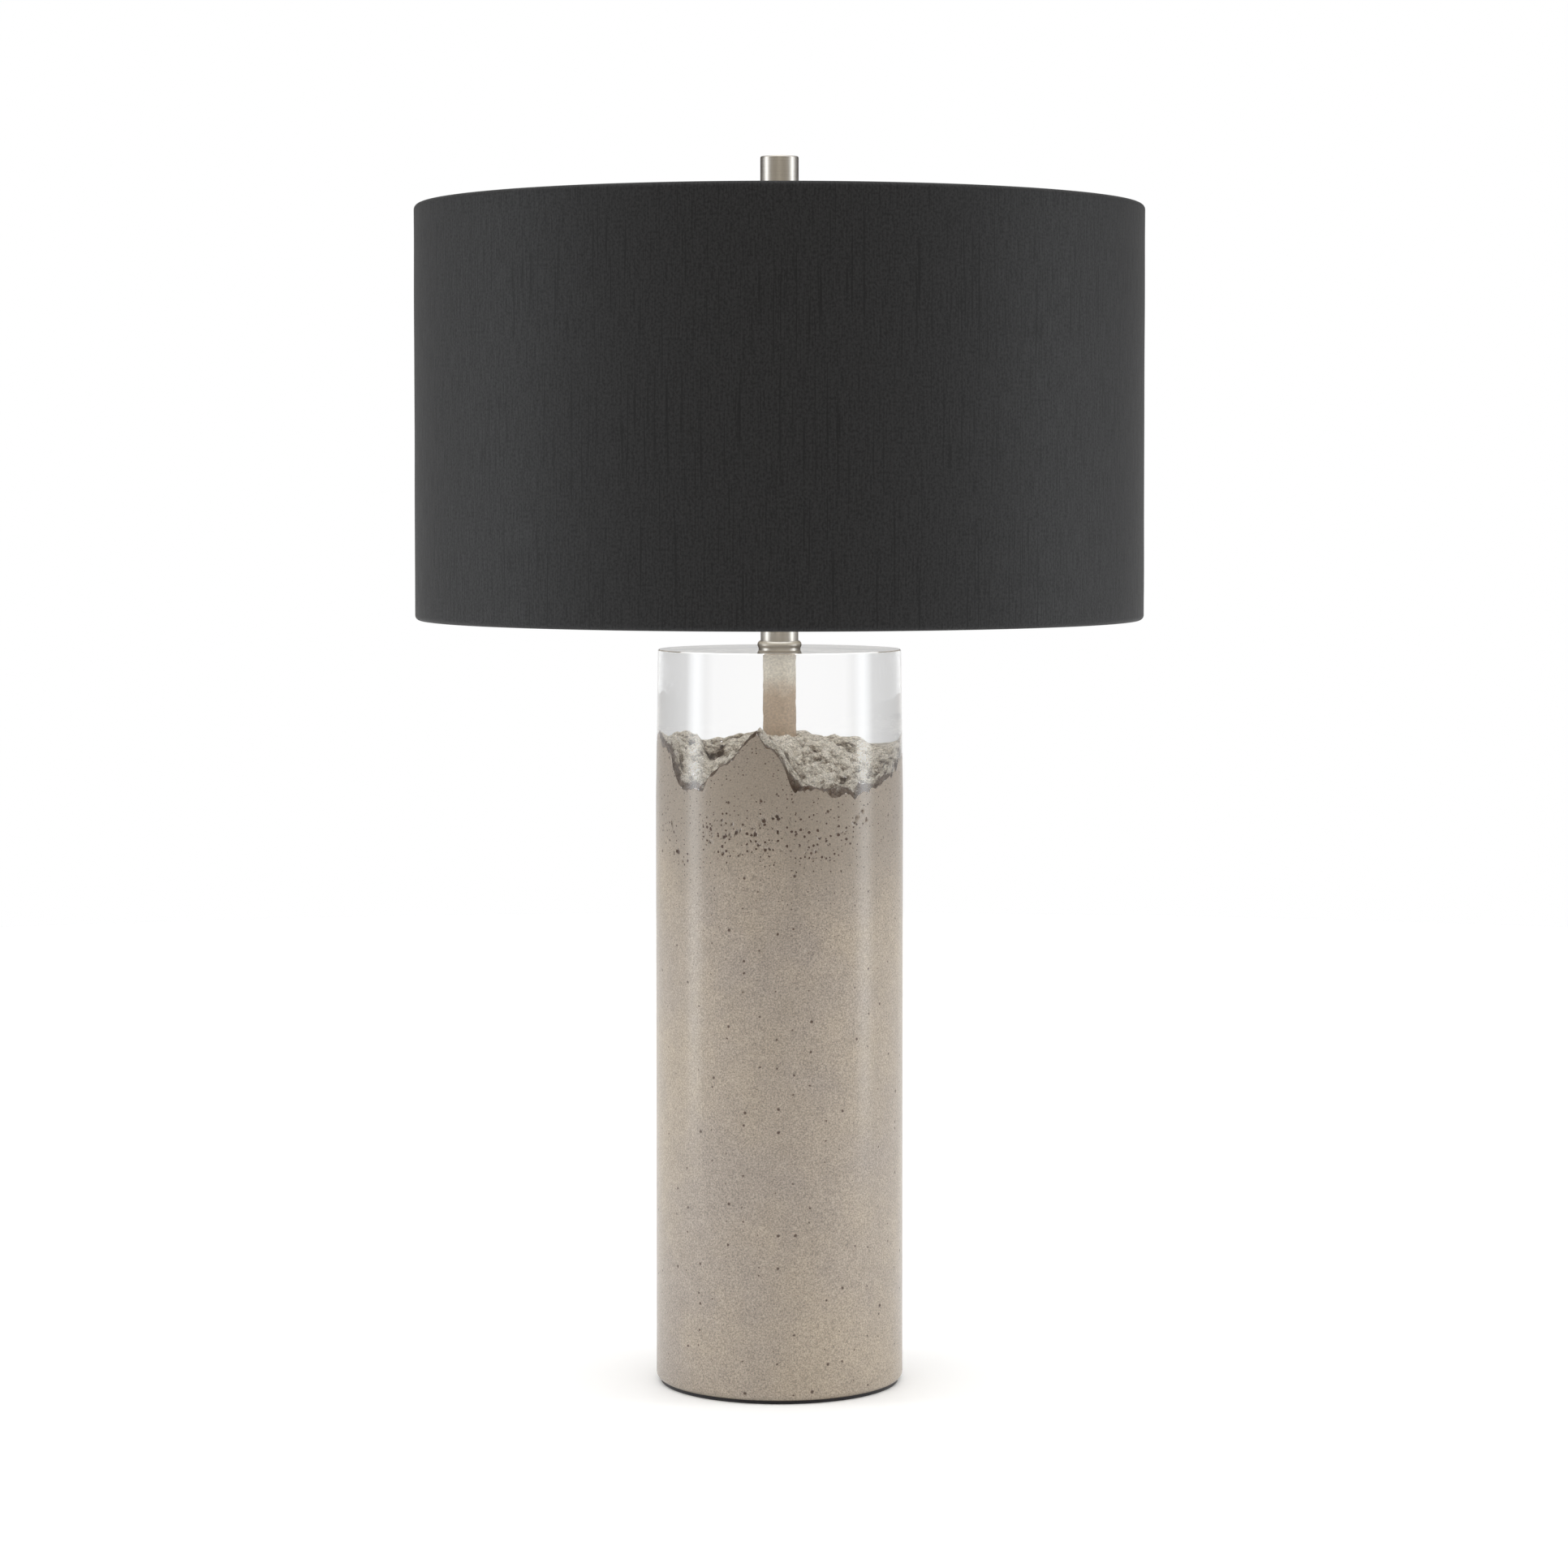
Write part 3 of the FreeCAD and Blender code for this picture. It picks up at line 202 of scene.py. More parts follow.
class LampMetal(PropertyGroup):
    """Plated and bare metals."""

    nickel: tint("Nickel", "Nickel plate where it is bright", "D6D3CE")
    dull: tint("Dull nickel", "Nickel plate in its brush lines", "C2BDB5")
    wire: tint("Dull wire", "Nickel plated wire in its drawing marks", "C6C2BB")
    # painted shade: this dark glancing tint darkens the nickel's reflection along its outlines
    edge: tint("Nickel edge", "Nickel plate seen at a glancing angle", "4A423A")
    brass: tint("Brass", "Turned brass", "C9A55C")
    zinc: tint("Zinc", "Zinc plated steel", "B9BCC0")
    aluminium: tint("Aluminium", "Rolled aluminium bulb cap", "CDCED0")
    brush: size("Brush lines", "Distance between brush lines", 0.5 * MM)


class LampStudio(PropertyGroup):
    """Floor, light and camera."""

    floor: tint("Floor", "Pale floor", "F7F7F7")
    floor_radius: size("Floor radius", "Radius of the round floor", 3.0)
    softbox: number("Softboxes", "Power of each softbox", 23, unit="POWER")
    softbox_colour: FloatVectorProperty(name="Softbox colour", description="Cool white, linear",
                                        default=(0.93, 0.97, 1.0), min=0, max=1, subtype="COLOR")
    softbox_reach: size("Softbox reach", "Softboxes to the lamp's axis, sideways", 1.2)
    softbox_forward: size("Softbox forward", "Softboxes in front of the lamp's axis", 0.144)
    softbox_level: size("Softbox level", "Height of the softboxes' middles", 0.5)
    softbox_width: size("Softbox width", "Width of each softbox", 0.6)
    softbox_length: size("Softbox length", "Height of each softbox", 2.2)
    room: number("Room", "Strength of the light from the room", 1.0, subtype="FACTOR")
    lens: number("Lens", "Focal length in mm", 95.0, subtype="DISTANCE_CAMERA")
    distance: size("Distance", "Camera to the lamp's axis", 2.750)
    eye: size("Eye height", "Camera above the floor", 0.5991)
    aside: size("Aside", "Camera to the right of the lamp's axis", 0.0030)
    pitch: number("Pitch", "Camera tilt below level", math.radians(2.428), subtype="ANGLE")
    shift: number("Shift", "Vertical lens shift, as a share of the width", -0.08, subtype="FACTOR")


# --- Shapes ---
def ease(t):
    """0 below 0, 1 above 1, and 3t^2 - 2t^3 between."""
    t = np.clip(t, 0, 1)
    return t * t * (3 - 2 * t)


def corner_number(ix, iy, iz, seed):
    """A repeatable number from 0 to 1 for each corner of a lattice.

    Its three whole numbers and the seed are each multiplied by a large odd number and added, and the
    sum's upper bits are folded onto its lower ones twice.
    """
    mixed = ix * 374761393 + iy * 668265263 + iz * 1440662683 + seed * 1274126177
    mixed = (mixed ^ (mixed >> 13)) * 1274126177
    mixed = (mixed ^ (mixed >> 16)) & 0xFFFF
    return mixed / 65535.0


def noise(x, y, z, width, seed=0):
    """Smooth noise from -1 to 1: the eight corner numbers of a cell of that width, eased together."""
    places = [np.asarray(p) / width for p in (x, y, z)]
    cells = [np.floor(p).astype(np.int64) for p in places]
    blends = [ease(p - c) for p, c in zip(places, cells)]
    total = 0
    for dx in (0, 1):
        for dy in (0, 1):
            for dz in (0, 1):
                weight = 1
                for blend, step in zip(blends, (dx, dy, dz)):
                    weight = weight * (blend if step else 1 - blend)
                corner = corner_number(cells[0] + dx, cells[1] + dy, cells[2] + dz, seed)
                total = total + weight * corner
    return 2 * total - 1


def layered(x, y, z, width, layers, seed=0):
    """Noise in layers, each half as wide and half as high as the one before."""
    return sum(noise(x, y, z, width / 2 ** i, seed + i) / 2 ** i for i in range(layers))


def facets(x, y, width, seed):
    """Broken stone: the highest of the nine nearest planes, one to a cell of that width.

    Each plane leans at random about its own centre, and falls by 0.9 of the distance from it.
    """
    px, py = x / width, y / width
    cx, cy = np.floor(px).astype(np.int64), np.floor(py).astype(np.int64)
    best = np.full(np.shape(px), -9.0)
    for dx in (-1, 0, 1):
        for dy in (-1, 0, 1):
            qx, qy = cx + dx, cy + dy
            jitter_x, jitter_y, height, lean_x, lean_y = (
                corner_number(qx, qy, 0 * qx + i, seed) for i in range(5))
            away_x, away_y = px - qx - jitter_x, py - qy - jitter_y
            plane = height + 1.4 * ((lean_x - 0.5) * away_x + (lean_y - 0.5) * away_y)
            best = np.maximum(best, plane - 0.9 * np.hypot(away_x, away_y))
    return best


def pits(u, v, cell, low, high, share_of_cells, seed):
    """Round bowls, one at most in a cell: depth is the square root of 1 - (distance / radius)^2.

    The radius runs from low to high with the square of a random number, so most bowls are small.
    """
    iu, iv = np.floor(u / cell).astype(np.int64), np.floor(v / cell).astype(np.int64)
    depth = np.zeros(np.shape(u))
    for du in (-1, 0, 1):
        for dv in (-1, 0, 1):
            qu, qv = iu + du, iv + dv
            place_u, place_v, spread, chance = (
                corner_number(qu, qv, 0 * qu + i, seed) for i in range(4))
            radius = low + (high - low) * spread ** 2
            away = np.hypot(u - (qu + place_u) * cell, v - (qv + place_v) * cell) / radius
            bowl = np.sqrt(np.clip(1 - away ** 2, 0, 1)) * radius / high
            depth = np.maximum(depth, np.where(chance < share_of_cells, bowl, 0))
    return depth


def place(name, data):
    """Adds an object with that data to the scene."""
    added = bpy.data.objects.new(name, data)
    bpy.context.scene.collection.objects.link(added)
    return added


def grid_piece(name, points, values=None, texture_map=None, crease=42):
    """A closed mesh from a grid of points, joined up both along the rows and round the columns.

    points is rows x columns x 3. values are point attributes, and texture_map the two lists of
    distances, one longer than the grid, for a UV map in metres. Faces are turned to face outwards, and
    edges that turn by more than crease degrees stay sharp.
    """
    rows, columns = points.shape[:2]
    index = np.arange(rows * columns).reshape(rows, columns)
    below = np.roll(index, -1, axis=0)
    quads = np.stack([index, np.roll(index, -1, 1), np.roll(below, -1, 1), below], axis=-1)
    quads = quads.reshape(-1, 4)
    flat = points.reshape(-1, 3)
    a, b, c, d = (flat[quads[:, i]] for i in range(4))
    volume = np.sum(a * np.cross(b, c)) + np.sum(a * np.cross(c, d))
    order = [0, 1, 2, 3] if volume > 0 else [3, 2, 1, 0]
    mesh = bpy.data.meshes.new(name)
    mesh.from_pydata(flat, [], quads[:, order])
    for key, numbers in (values or {}).items():
        attribute = mesh.attributes.new(key, "FLOAT", "POINT")
        attribute.data.foreach_set("value", np.ascontiguousarray(numbers, np.float32).ravel())
    if texture_map is not None:
        along, up = texture_map
        column, row = np.meshgrid(np.arange(columns), np.arange(rows))
        corners = [(column, row), (column + 1, row), (column + 1, row + 1), (column, row + 1)]
        pairs = np.stack([np.stack([along[i], up[j]], -1) for i, j in corners], axis=2)
        pairs = pairs.reshape(-1, 4, 2)[:, order]
        mesh.uv_layers.new(name="weave").data.foreach_set("uv", pairs.astype(np.float32).ravel())
    mesh.shade_smooth()
    mesh.set_sharp_from_angle(angle=math.radians(crease))
    return place(name, mesh)


def turned_points(angles, radius, level):
    """Points at a radius and a level, where angle 0 is the front and a quarter turn is +X."""
    angles, radius, level = np.broadcast_arrays(angles, radius, level)
    return np.stack([radius * np.sin(angles), -radius * np.cos(angles), level], axis=-1)


def steps(start, end, count):
    """count evenly spaced shares of the way from start to end, without the end, as a column."""
    return start + (end - start) * (np.arange(count) / count)[:, None]


def stacked(*blocks):
    """Blocks of profile rows, each a radius and a level, put one under the other."""
    shape = np.broadcast_shapes(*[np.shape(p)[1:] for block in blocks for p in block])
    rows = [[np.broadcast_to(p, (np.shape(p)[0], *shape)) for p in np.broadcast_arrays(*block)]
            for block in blocks]
    return tuple(np.concatenate([r[i] for r in rows]) for i in (0, 1))


def quarter(centre_r, centre_z, radius, start, end, count):
    """Rows along an arc, its angle measured in degrees from outwards towards up."""
    angle = np.radians(steps(start, end, count))
    return centre_r + radius * np.cos(angle), centre_z + radius * np.sin(angle)


def crest_drop(angles):
    """How far the broken edge lies below the clear face, straight from crest point to crest point."""
    degrees, drops = np.array(CREST).T
    return np.interp(np.degrees(angles), degrees, drops, period=360) * MM


def wall_radius(level, casting):
    """The column's outside: straight, then drawn in by the draft over the clear casting's depth."""
    rise = np.clip((level - (column_top - casting.depth)) / casting.depth, 0, 1)
    return column_radius - casting.draft * rise


def broken_stone(x, y, concrete):
    """Height of the broken concrete, and its fine relief from about 0 in cracks to 1 on tops.

    A nearly level core runs out to the crest, with bell-shaped hollows across it. The stone on it is
    three sizes of facets and a layer of grit, and the edge is chipped away by 0 to 4 mm within
    3.5 mm of the wall.
    """
    radius = np.hypot(x, y)
    edge = crest_drop(np.arctan2(x, -y))
    core = concrete.core_drop + sum(depth * MM * np.exp(-((x - place * MM) / (reach * MM)) ** 2)
                                    for place, depth, reach in HOLLOWS)
    out = ease((radius / column_radius - concrete.core) / (1 - concrete.core))
    wave = TURN / RIPPLE_WIDTH
    ripple = np.sin(wave * (x + 0.4 * y)) * np.cos(wave * (1.3 * y - 0.3 * x))
    level = column_top - core - (edge - core) * out + RIPPLE * MM * ripple
    chip = CHIP + CHIP_MORE * noise(x, y, level, CHIP_WIDTH, 7)
    near_wall = ease(1 - (column_radius - 0.8 * MM - radius) / CHIP_REACH)
    level = level + 1.5 * MM - chip * MM * near_wall
    bent_x = x + BEND * noise(x, y, level, BEND_WIDTH, 5)
    bent_y = y + BEND * noise(x, y, level, BEND_WIDTH, 6)
    coarse = facets(bent_x, bent_y, COARSE_WIDTH, 1)
    middle, fine = facets(bent_x, bent_y, MIDDLE_WIDTH, 2), facets(x, y, FINE_WIDTH, 3)
    grit = layered(x, y, level, GRIT_WIDTH, 2, 8)
    stone = COARSE * coarse + MIDDLE * middle + FINE * fine + GRIT * grit - SINK
    return level + MM * stone, np.clip(0.25 + 0.35 * middle + 0.4 * fine + 0.15 * grit, 0, 1)


def top_rows(angles, concrete, casting, count):
    """Rows of the broken surface from stem to wall: radius, level, way to the wall, relief.

    The rows lie closer together towards the wall: the share runs as 1 - (1 - t)^1.5. The wall tapers,
    so its radius and the height of the break there settle in three rounds.
    """
    rim = column_radius - casting.draft / 2
    for _ in range(3):
        crest = broken_stone(rim * np.sin(angles), -rim * np.cos(angles), concrete)[0]
        rim = wall_radius(crest, casting)
    t = 1 - (1 - np.linspace(0, 1, count)[:, None]) ** 1.5
    inner = stem_radius - casting.bite
    radius = inner + (rim - inner) * t
    level, relief = broken_stone(radius * np.sin(angles), -radius * np.cos(angles), concrete)
    return radius, level, rim - radius, relief


def column_angles():
    """The angles of the columns that the concrete and the clear casting share, in radians."""
    return np.arange(COLUMN_ANGLES) * TURN / COLUMN_ANGLES


def concrete_shape(concrete, casting):
    """Rows round the column's section: broken top, pitted wall, rounded foot, recess, cavity, bore.

    Its attributes are from_crest, the way to the broken edge, below zero on the wall; cracks, the fine
    relief; pitted, the depth of the larger pits; and pit_zone, 1 in the middle of a cluster.
    """
    angles = column_angles()
    top_r, top_z, inwards, relief = top_rows(angles, concrete, casting, BROKEN_ROWS)
    crest = top_z[-1]
    foot_top = concrete_low.z + concrete.foot
    lower = crest - FINE_WALL + (foot_top - crest + FINE_WALL) * steps(0, 1, 20)
    wall_z = np.concatenate([crest - steps(1.0 * MM, FINE_WALL, 84), lower])
    around = angles * column_radius + 0 * wall_z
    zone = 0
    for degrees, height, reach in PIT_CLUSTERS:
        away = (angles - math.radians(degrees) + math.pi) % TURN - math.pi
        zone = np.maximum(zone, np.exp(-(away * column_radius / (1.3 * reach * MM)) ** 2
                                       - ((wall_z - height * MM) / (reach * MM)) ** 2))
    bowls = pits(around, wall_z, PIT_CELL, PIT_LEAST, PIT_MOST, PIT_SHARE, 21)
    bowls = bowls * ease((zone - 0.2) / 0.4)
    uneven = 0.5 + 0.5 * noise(around, wall_z, 0 * wall_z, 4 * MM, 33)
    wear = np.exp(-(crest - wall_z) / (2 * MM)) * uneven
    wall_r = wall_radius(wall_z, casting) - PIT_DEPTH * bowls - RIM_WEAR * wear
    recess = plate_high.x + concrete.plate_room
    cavity = recess - concrete.ledge
    ceiling = column_top - casting.depth - concrete.roof
    bore = pipe_bore
    corner_r, corner_z = cavity - concrete.corner, ceiling - concrete.corner
    radius, level = stacked(
        (top_r, top_z),
        (wall_r, wall_z),
        quarter(column_radius - concrete.foot, foot_top, concrete.foot, 0, -90, 6),
        (steps(column_radius - concrete.foot, recess, 3), concrete_low.z),
        (recess, steps(concrete_low.z, plate_high.z, 3)),
        (steps(recess, cavity, 1), plate_high.z),
        (cavity, steps(plate_high.z, corner_z, 3)),
        quarter(corner_r, corner_z, concrete.corner, 0, 90, 5),
        (steps(corner_r, bore, 2), ceiling),
        (bore, steps(ceiling, stem_low.z, 2)),
        (steps(bore, stem_radius - casting.bite, 1), stem_low.z),
    )
    wall = slice(BROKEN_ROWS, BROKEN_ROWS + len(wall_z))
    values = {key: np.zeros(radius.shape) for key in ATTRIBUTES}
    values["from_crest"] -= 1.0
    values["from_crest"][:BROKEN_ROWS] = inwards
    values["from_crest"][wall] = wall_z - crest
    values["cracks"][:BROKEN_ROWS] = relief
    values["pitted"][wall] = bowls
    values["pit_zone"][wall] = zone
    return turned_points(angles, radius, level), values


def casting_shape(concrete, casting):
    """Rows round the clear casting's section: underside in the concrete, wall, bevel, face, bore."""
    angles = column_angles()
    low_r, low_z, inwards, _ = top_rows(angles, concrete, casting, BROKEN_ROWS)
    low_z = low_z - casting.bite * ease(inwards / (1.5 * MM))
    bore = stem_radius - casting.bite
    brow = column_top - casting.bevel
    wall_z = low_z[-1] + (brow - low_z[-1]) * steps(0, 1, 12)[1:]
    face = wall_radius(brow, casting) - casting.bevel
    slope = casting.bevel * np.linspace(0, 1, 4)[:, None]
    radius, level = stacked(
        (low_r, low_z),
        (wall_radius(wall_z, casting), wall_z),
        (wall_radius(brow, casting) - slope, brow + slope),
        (steps(face, bore, 6)[1:], column_top),
        (bore, column_top + (low_z[0] - column_top) * steps(0, 1, 3)),
    )
    return turned_points(angles, radius, level)


def stem_shape():
    """The cement sleeve round the pipe, its outside rough by a tenth of a millimetre or two."""
    angles = np.arange(120) * TURN / 120
    z = np.linspace(stem_low.z, stem_high.z, 110)[:, None]
    x, y = stem_radius * np.sin(angles), stem_radius * np.cos(angles)
    rough = STEM_ROUGH * layered(x + 0 * z, y + 0 * z, z + 0 * x, STEM_LUMP, 4, 41)
    ends = ease((stem_high.z - z) / (2 * MM))
    outside = stem_radius + MM * np.minimum(rough, STEM_MOST) * ends
    radius, level = stacked((outside, z), (pipe_bore + 0 * z[::-36], z[::-36]))
    return turned_points(angles, radius, level)


def cloth_shape(shade):
    """The cloth's section, a closed loop half outside and half inside, carried round the drum.

    Each half runs up the hem's inner leg, round the lower ring, up the drum, round the upper ring
    and down the other leg. The seam at the back is a lap where the cloth stands one thickness proud,
    and the upper leg is slit where the spider's arms pass.
    """
    angles = np.arange(CLOTH_COLUMNS) * TURN / CLOTH_COLUMNS
    roll = shade.roll
    low, high = cloth_low.z + roll, cloth_high.z - roll
    centre = cloth_radius - roll

    def half(radius):
        """One face of the cloth, at that radius of the roll."""
        return [
            (centre - radius + 0 * steps(0, 1, 3), steps(low + shade.hem, low, 3)),
            quarter(centre, low, radius, 180, 360, 12),
            (centre + radius + 0 * steps(0, 1, 30), steps(low, high, 30)),
            quarter(centre, high, radius, 0, 180, 12),
            (centre - radius + 0 * steps(0, 1, 4), steps(high, high - shade.hem * 4 / 3, 4)),
        ]

    outer, inner = stacked(*half(roll)), stacked(*half(roll - shade.thickness))
    radius = np.concatenate([outer[0], inner[0][::-1]]) + 0 * angles
    level = np.concatenate([outer[1], inner[1][::-1]]) + 0 * angles
    length = np.concatenate([[0], np.cumsum(np.hypot(np.diff(radius[:, 0]), np.diff(level[:, 0])))])
    from_back = np.abs(angles - math.pi) * cloth_radius
    lap = 1 - ease((from_back - shade.lap / 2) / (0.8 * MM))
    outside = ease((radius - centre) / roll)
    ripple = CLOTH_RIPPLE * noise(angles * cloth_radius + 0 * level, level, 0 * level, 45 * MM, 51)
    between = ease((level - low) / (20 * MM)) * ease((high - level) / (20 * MM))
    radius = radius + outside * (0.5 * shade.thickness * lap + ripple * between)
    # in a slit the leg is squeezed to a hundredth of its length, at its stub
    arm = np.abs((angles - math.pi / 3) % (TURN / 3) - TURN / 6) * cloth_radius
    slit = TURN / 6 * cloth_radius - arm < SLIT
    stub = high + STUB
    leg = (radius < centre) & (level < stub) & (level > (low + high) / 2) & slit
    level = np.where(leg, stub + (level - stub) * 0.01, level)
    around = np.arange(CLOTH_COLUMNS + 1) * TURN / CLOTH_COLUMNS * cloth_radius
    up = np.append(length, length[-1] + shade.thickness)
    girth = TURN * cloth_radius + shade.lap
    cut = (high - low) + 2 * (math.pi * roll + shade.hem)
    return turned_points(angles, radius, level), (around, up), (girth, cut)


# --- Materials ---
NOISE, RANGE, MATH, MIX = "ShaderNodeTexNoise", "ShaderNodeMapRange", "ShaderNodeMath", "ShaderNodeMix"
RAMP, BUMP, WHERE, SPLIT = ("ShaderNodeValToRGB", "ShaderNodeBump", "ShaderNodeTexCoord",
                            "ShaderNodeSeparateXYZ")
# A mixer of colours: its sockets (how much of the second, the two colours), and its two ways to mix.
SHARE, FIRST, SECOND = 0, 6, 7
BLEND = {"data_type": "RGBA"}
TIMES = {"data_type": "RGBA", "blend_type": "MULTIPLY"}


def feed(tree, socket, value):
    """Links a node's result or an output to a socket, or sets the socket to a plain value."""
    if isinstance(value, bpy.types.Node):
        value = value.outputs[2 if value.bl_idname == MIX else 0]
    if isinstance(value, bpy.types.NodeSocket):
        tree.links.new(value, socket)
    else:
        socket.default_value = value


def put(tree, kind, inputs=(), stops=(), **settings):
    """Adds a node with its settings, its sockets and, for a ramp, its stops (place and colour).

    The sockets are in order, or by name or number, and each takes a value, a node or an output.
    """
    added = tree.nodes.new(kind)
    for name, value in settings.items():
        setattr(added, name, value)
    for socket, value in inputs.items() if isinstance(inputs, dict) else enumerate(inputs):
        feed(tree, added.inputs[socket], value)
    for i, (position, colour) in enumerate(stops):
        elements = added.color_ramp.elements
        stop = elements[i] if i < 2 else elements.new(position)
        stop.position, stop.color = position, colour
    return added


def connect(tree, shader, **sources):
    """Feeds the shader's sockets, whose names have _ for a space."""
    for key, source in sources.items():
        feed(tree, shader.inputs[key.replace("_", " ")], source)


def finish(name, **constants):
    """A new material with its shader, and constants set on the shader's own sockets."""
    material = bpy.data.materials.new(name)
    material.use_nodes = True
    shader = material.node_tree.nodes["Principled BSDF"]
    connect(material.node_tree, shader, **constants)
    return material, material.node_tree, shader


def grain(tree, width, layers, roughness=0.62, stretch=(1, 1, 1), source="Object", **settings):
    """A pattern whose coarsest lumps are that wide in metres, stretched along any axis."""
    scale = tuple(1 / (width * s) for s in stretch)
    where = put(tree, WHERE).outputs[source]
    where = put(tree, "ShaderNodeMapping", {"Vector": where, "Scale": scale})
    return put(tree, NOISE, {"Vector": where, "Scale": 1.0, "Detail": layers, "Roughness": roughness},
               **settings)


def mottled(name, dark, light, width, stretch=(1, 1, 1), rough=(0.4, 0.6), height=0.02 * MM,
            **constants):
    """A finish whose colour, roughness and relief all follow one pattern of a real width."""
    material, tree, shader = finish(name, **constants)
    add = partial(put, tree)
    pattern = grain(tree, width, 3.0, 0.6, stretch)
    dark, light = (linear(c) if isinstance(c, str) else c for c in (dark, light))
    ramp = add(RAMP, (pattern,), [(0.3, dark), (0.7, light)])
    polish = add(RANGE, (pattern, 0.3, 0.7, *rough))
    relief = add(BUMP, {"Height": pattern, "Distance": height, "Strength": 1.0})
    connect(tree, shader, Base_Color=ramp, Roughness=polish, Normal=relief)
    return material


def cast_concrete(concrete):
    """Cement cast against a smooth mould, ground and sealed: matt paste under a thin clear coat.

    Warm and cool patches, sand grains, pinholes and clusters of larger pits, darkened inside with
    painted shade, and the broken edge: crushed stone with painted shade in its cracks, painted light
    on its tops and a brown ragged rim.
    """
    material, tree, shader = finish("sealed_cast_concrete", Coat_Weight=0.5, Coat_Roughness=0.17,
                                    Coat_IOR=1.5, IOR=1.5)
    add = partial(put, tree)
    where = add(SPLIT, (add(WHERE).outputs["Object"],))
    forward = add(MATH, (where.outputs["Y"], -1.0), operation="MULTIPLY")
    turn = add(MATH, (where.outputs["X"], forward), operation="ARCTAN2")
    around = add(MATH, (turn, column_radius), operation="MULTIPLY")
    unrolled = add("ShaderNodeCombineXYZ", (around, where.outputs["Z"]))

    def holes(width, power, reach, depth):
        """Uneven dots in the unrolled wall, one to a cell: reach times a random number to a power."""
        flat = add("ShaderNodeVectorMath", {0: unrolled, "Scale": 1 / width}, operation="SCALE")
        uneven = grain(tree, 1.4 * MM, 1.0).outputs["Color"]
        flat = add("ShaderNodeVectorMath", (uneven, (0.9 * MM / width,) * 3, flat),
                   operation="MULTIPLY_ADD")
        cells = add("ShaderNodeTexVoronoi", {"Vector": flat, "Scale": 1.0},
                    voronoi_dimensions="2D")
        chance = add("ShaderNodeSeparateColor", (cells.outputs["Color"],))
        radius = add(MATH, (chance, power), operation="POWER")
        radius = add(MATH, (radius, reach), operation="MULTIPLY")
        within = add(MATH, (radius, cells.outputs["Distance"]), operation="SUBTRACT")
        return add(RANGE, (within, -0.02, 0.04, 0.0, depth))

    crest, cracks, pitted, zone = (
        add("ShaderNodeAttribute", attribute_name=key).outputs["Fac"] for key in ATTRIBUTES)

    # the paste: patches, clouds 12 mm wide, sand grains, and darker from 95 to 30 mm under the break
    patch, grit = grain(tree, concrete.patch, 5.0), grain(tree, concrete.grit, 2.0)
    paste = add(RAMP, (patch,), [(0.38, concrete.lilac), (0.62, concrete.tan)])
    grains = add(RANGE, (grit, 0.33, 0.67, 0.60, 1.31))
    clouds = add(RANGE, (grain(tree, 12 * MM, 4.0), 0.3, 0.7, 0.93, 1.06))
    clouds = add(MATH, (clouds, grains), operation="MULTIPLY")
    wall = add(MIX, {SHARE: 1.0, FIRST: paste, SECOND: clouds}, **TIMES)
    under = add(RANGE, (crest, -95 * MM, -30 * MM, 0.0, 1.15), interpolation_type="SMOOTHSTEP")
    under = add(MATH, (under, patch), operation="MULTIPLY")
    wall = add(MIX, {SHARE: under, FIRST: wall, SECOND: concrete.shaded}, **BLEND)

    # the holes: pinholes, specks that crowd together near the break and in its clusters, and pits,
    # darkened inside with painted shade
    pinholes = holes(concrete.pinhole, 3.0, 0.105, 0.9)
    crowd = add(RANGE, (crest, -150 * MM, -20 * MM, 0.06, 0.19))
    crowd = add(MATH, (zone, 0.30, crowd), operation="MULTIPLY_ADD")
    dark = add(MATH, (pinholes, holes(concrete.speck, 2.0, crowd, 0.95)), operation="MAXIMUM")
    bowls = add(RANGE, (pitted, 0.2, 0.5, 0.0, 0.95))
    dark = add(MATH, (dark, bowls), operation="MAXIMUM")
    wall = add(MIX, {SHARE: dark, FIRST: wall, SECOND: concrete.pit_shade}, **BLEND)

    # the break: stone with painted shade in its cracks and painted light on its tops, and a rim that
    # is brown 5 to 20 mm in
    stone = grain(tree, concrete.crumb, 6.0)
    tone = add(MATH, (stone, 0.7), operation="MULTIPLY")
    # the relief darkens the cracks and lightens the tops: painted shade and painted light
    tone = add(MATH, (cracks, 0.5, tone), operation="MULTIPLY_ADD")
    broken = add(RAMP, (tone,), [(0.43, concrete.crack_shade), (0.51, concrete.stone),
                                       (0.60, concrete.pale), (0.72, concrete.cream_and_top_light)])
    broken = add(MIX, {SHARE: 1.0, FIRST: broken, SECOND: grains}, **TIMES)
    rim_brown = add(MIX, {SHARE: 1.0, FIRST: concrete.rim_brown, SECOND: grains}, **TIMES)
    ragged = add(MATH, (crest, 9 * MM), operation="ADD")
    ragged = add(MATH, (grain(tree, 9 * MM, 5.0), -34 * MM, ragged), operation="MULTIPLY_ADD")
    rim = add(RANGE, (ragged, -3.0 * MM, 1.0 * MM, 0.85, 0.0))
    broken = add(MIX, {SHARE: rim, FIRST: broken, SECOND: rim_brown}, **BLEND)
    inside = add(MATH, (crest, -0.3 * MM), operation="GREATER_THAN")
    colour = add(MIX, {SHARE: inside, FIRST: wall, SECOND: broken}, **BLEND)

    # the relief: grit less the holes, and sixteen times as deep in the stone
    smooth = add(MATH, (grit, dark), operation="SUBTRACT")
    rough = add(MATH, (stone, inside), operation="MULTIPLY")
    relief = add(MATH, (rough, 16.0, smooth), operation="MULTIPLY_ADD")
    relief = add(BUMP, {"Height": relief, "Distance": 0.12 * MM, "Strength": 0.8})
    polish = add(RANGE, (grit, 0.3, 0.7, 0.5, 0.72))
    connect(tree, shader, Base_Color=colour, Roughness=polish, Normal=relief)
    return material


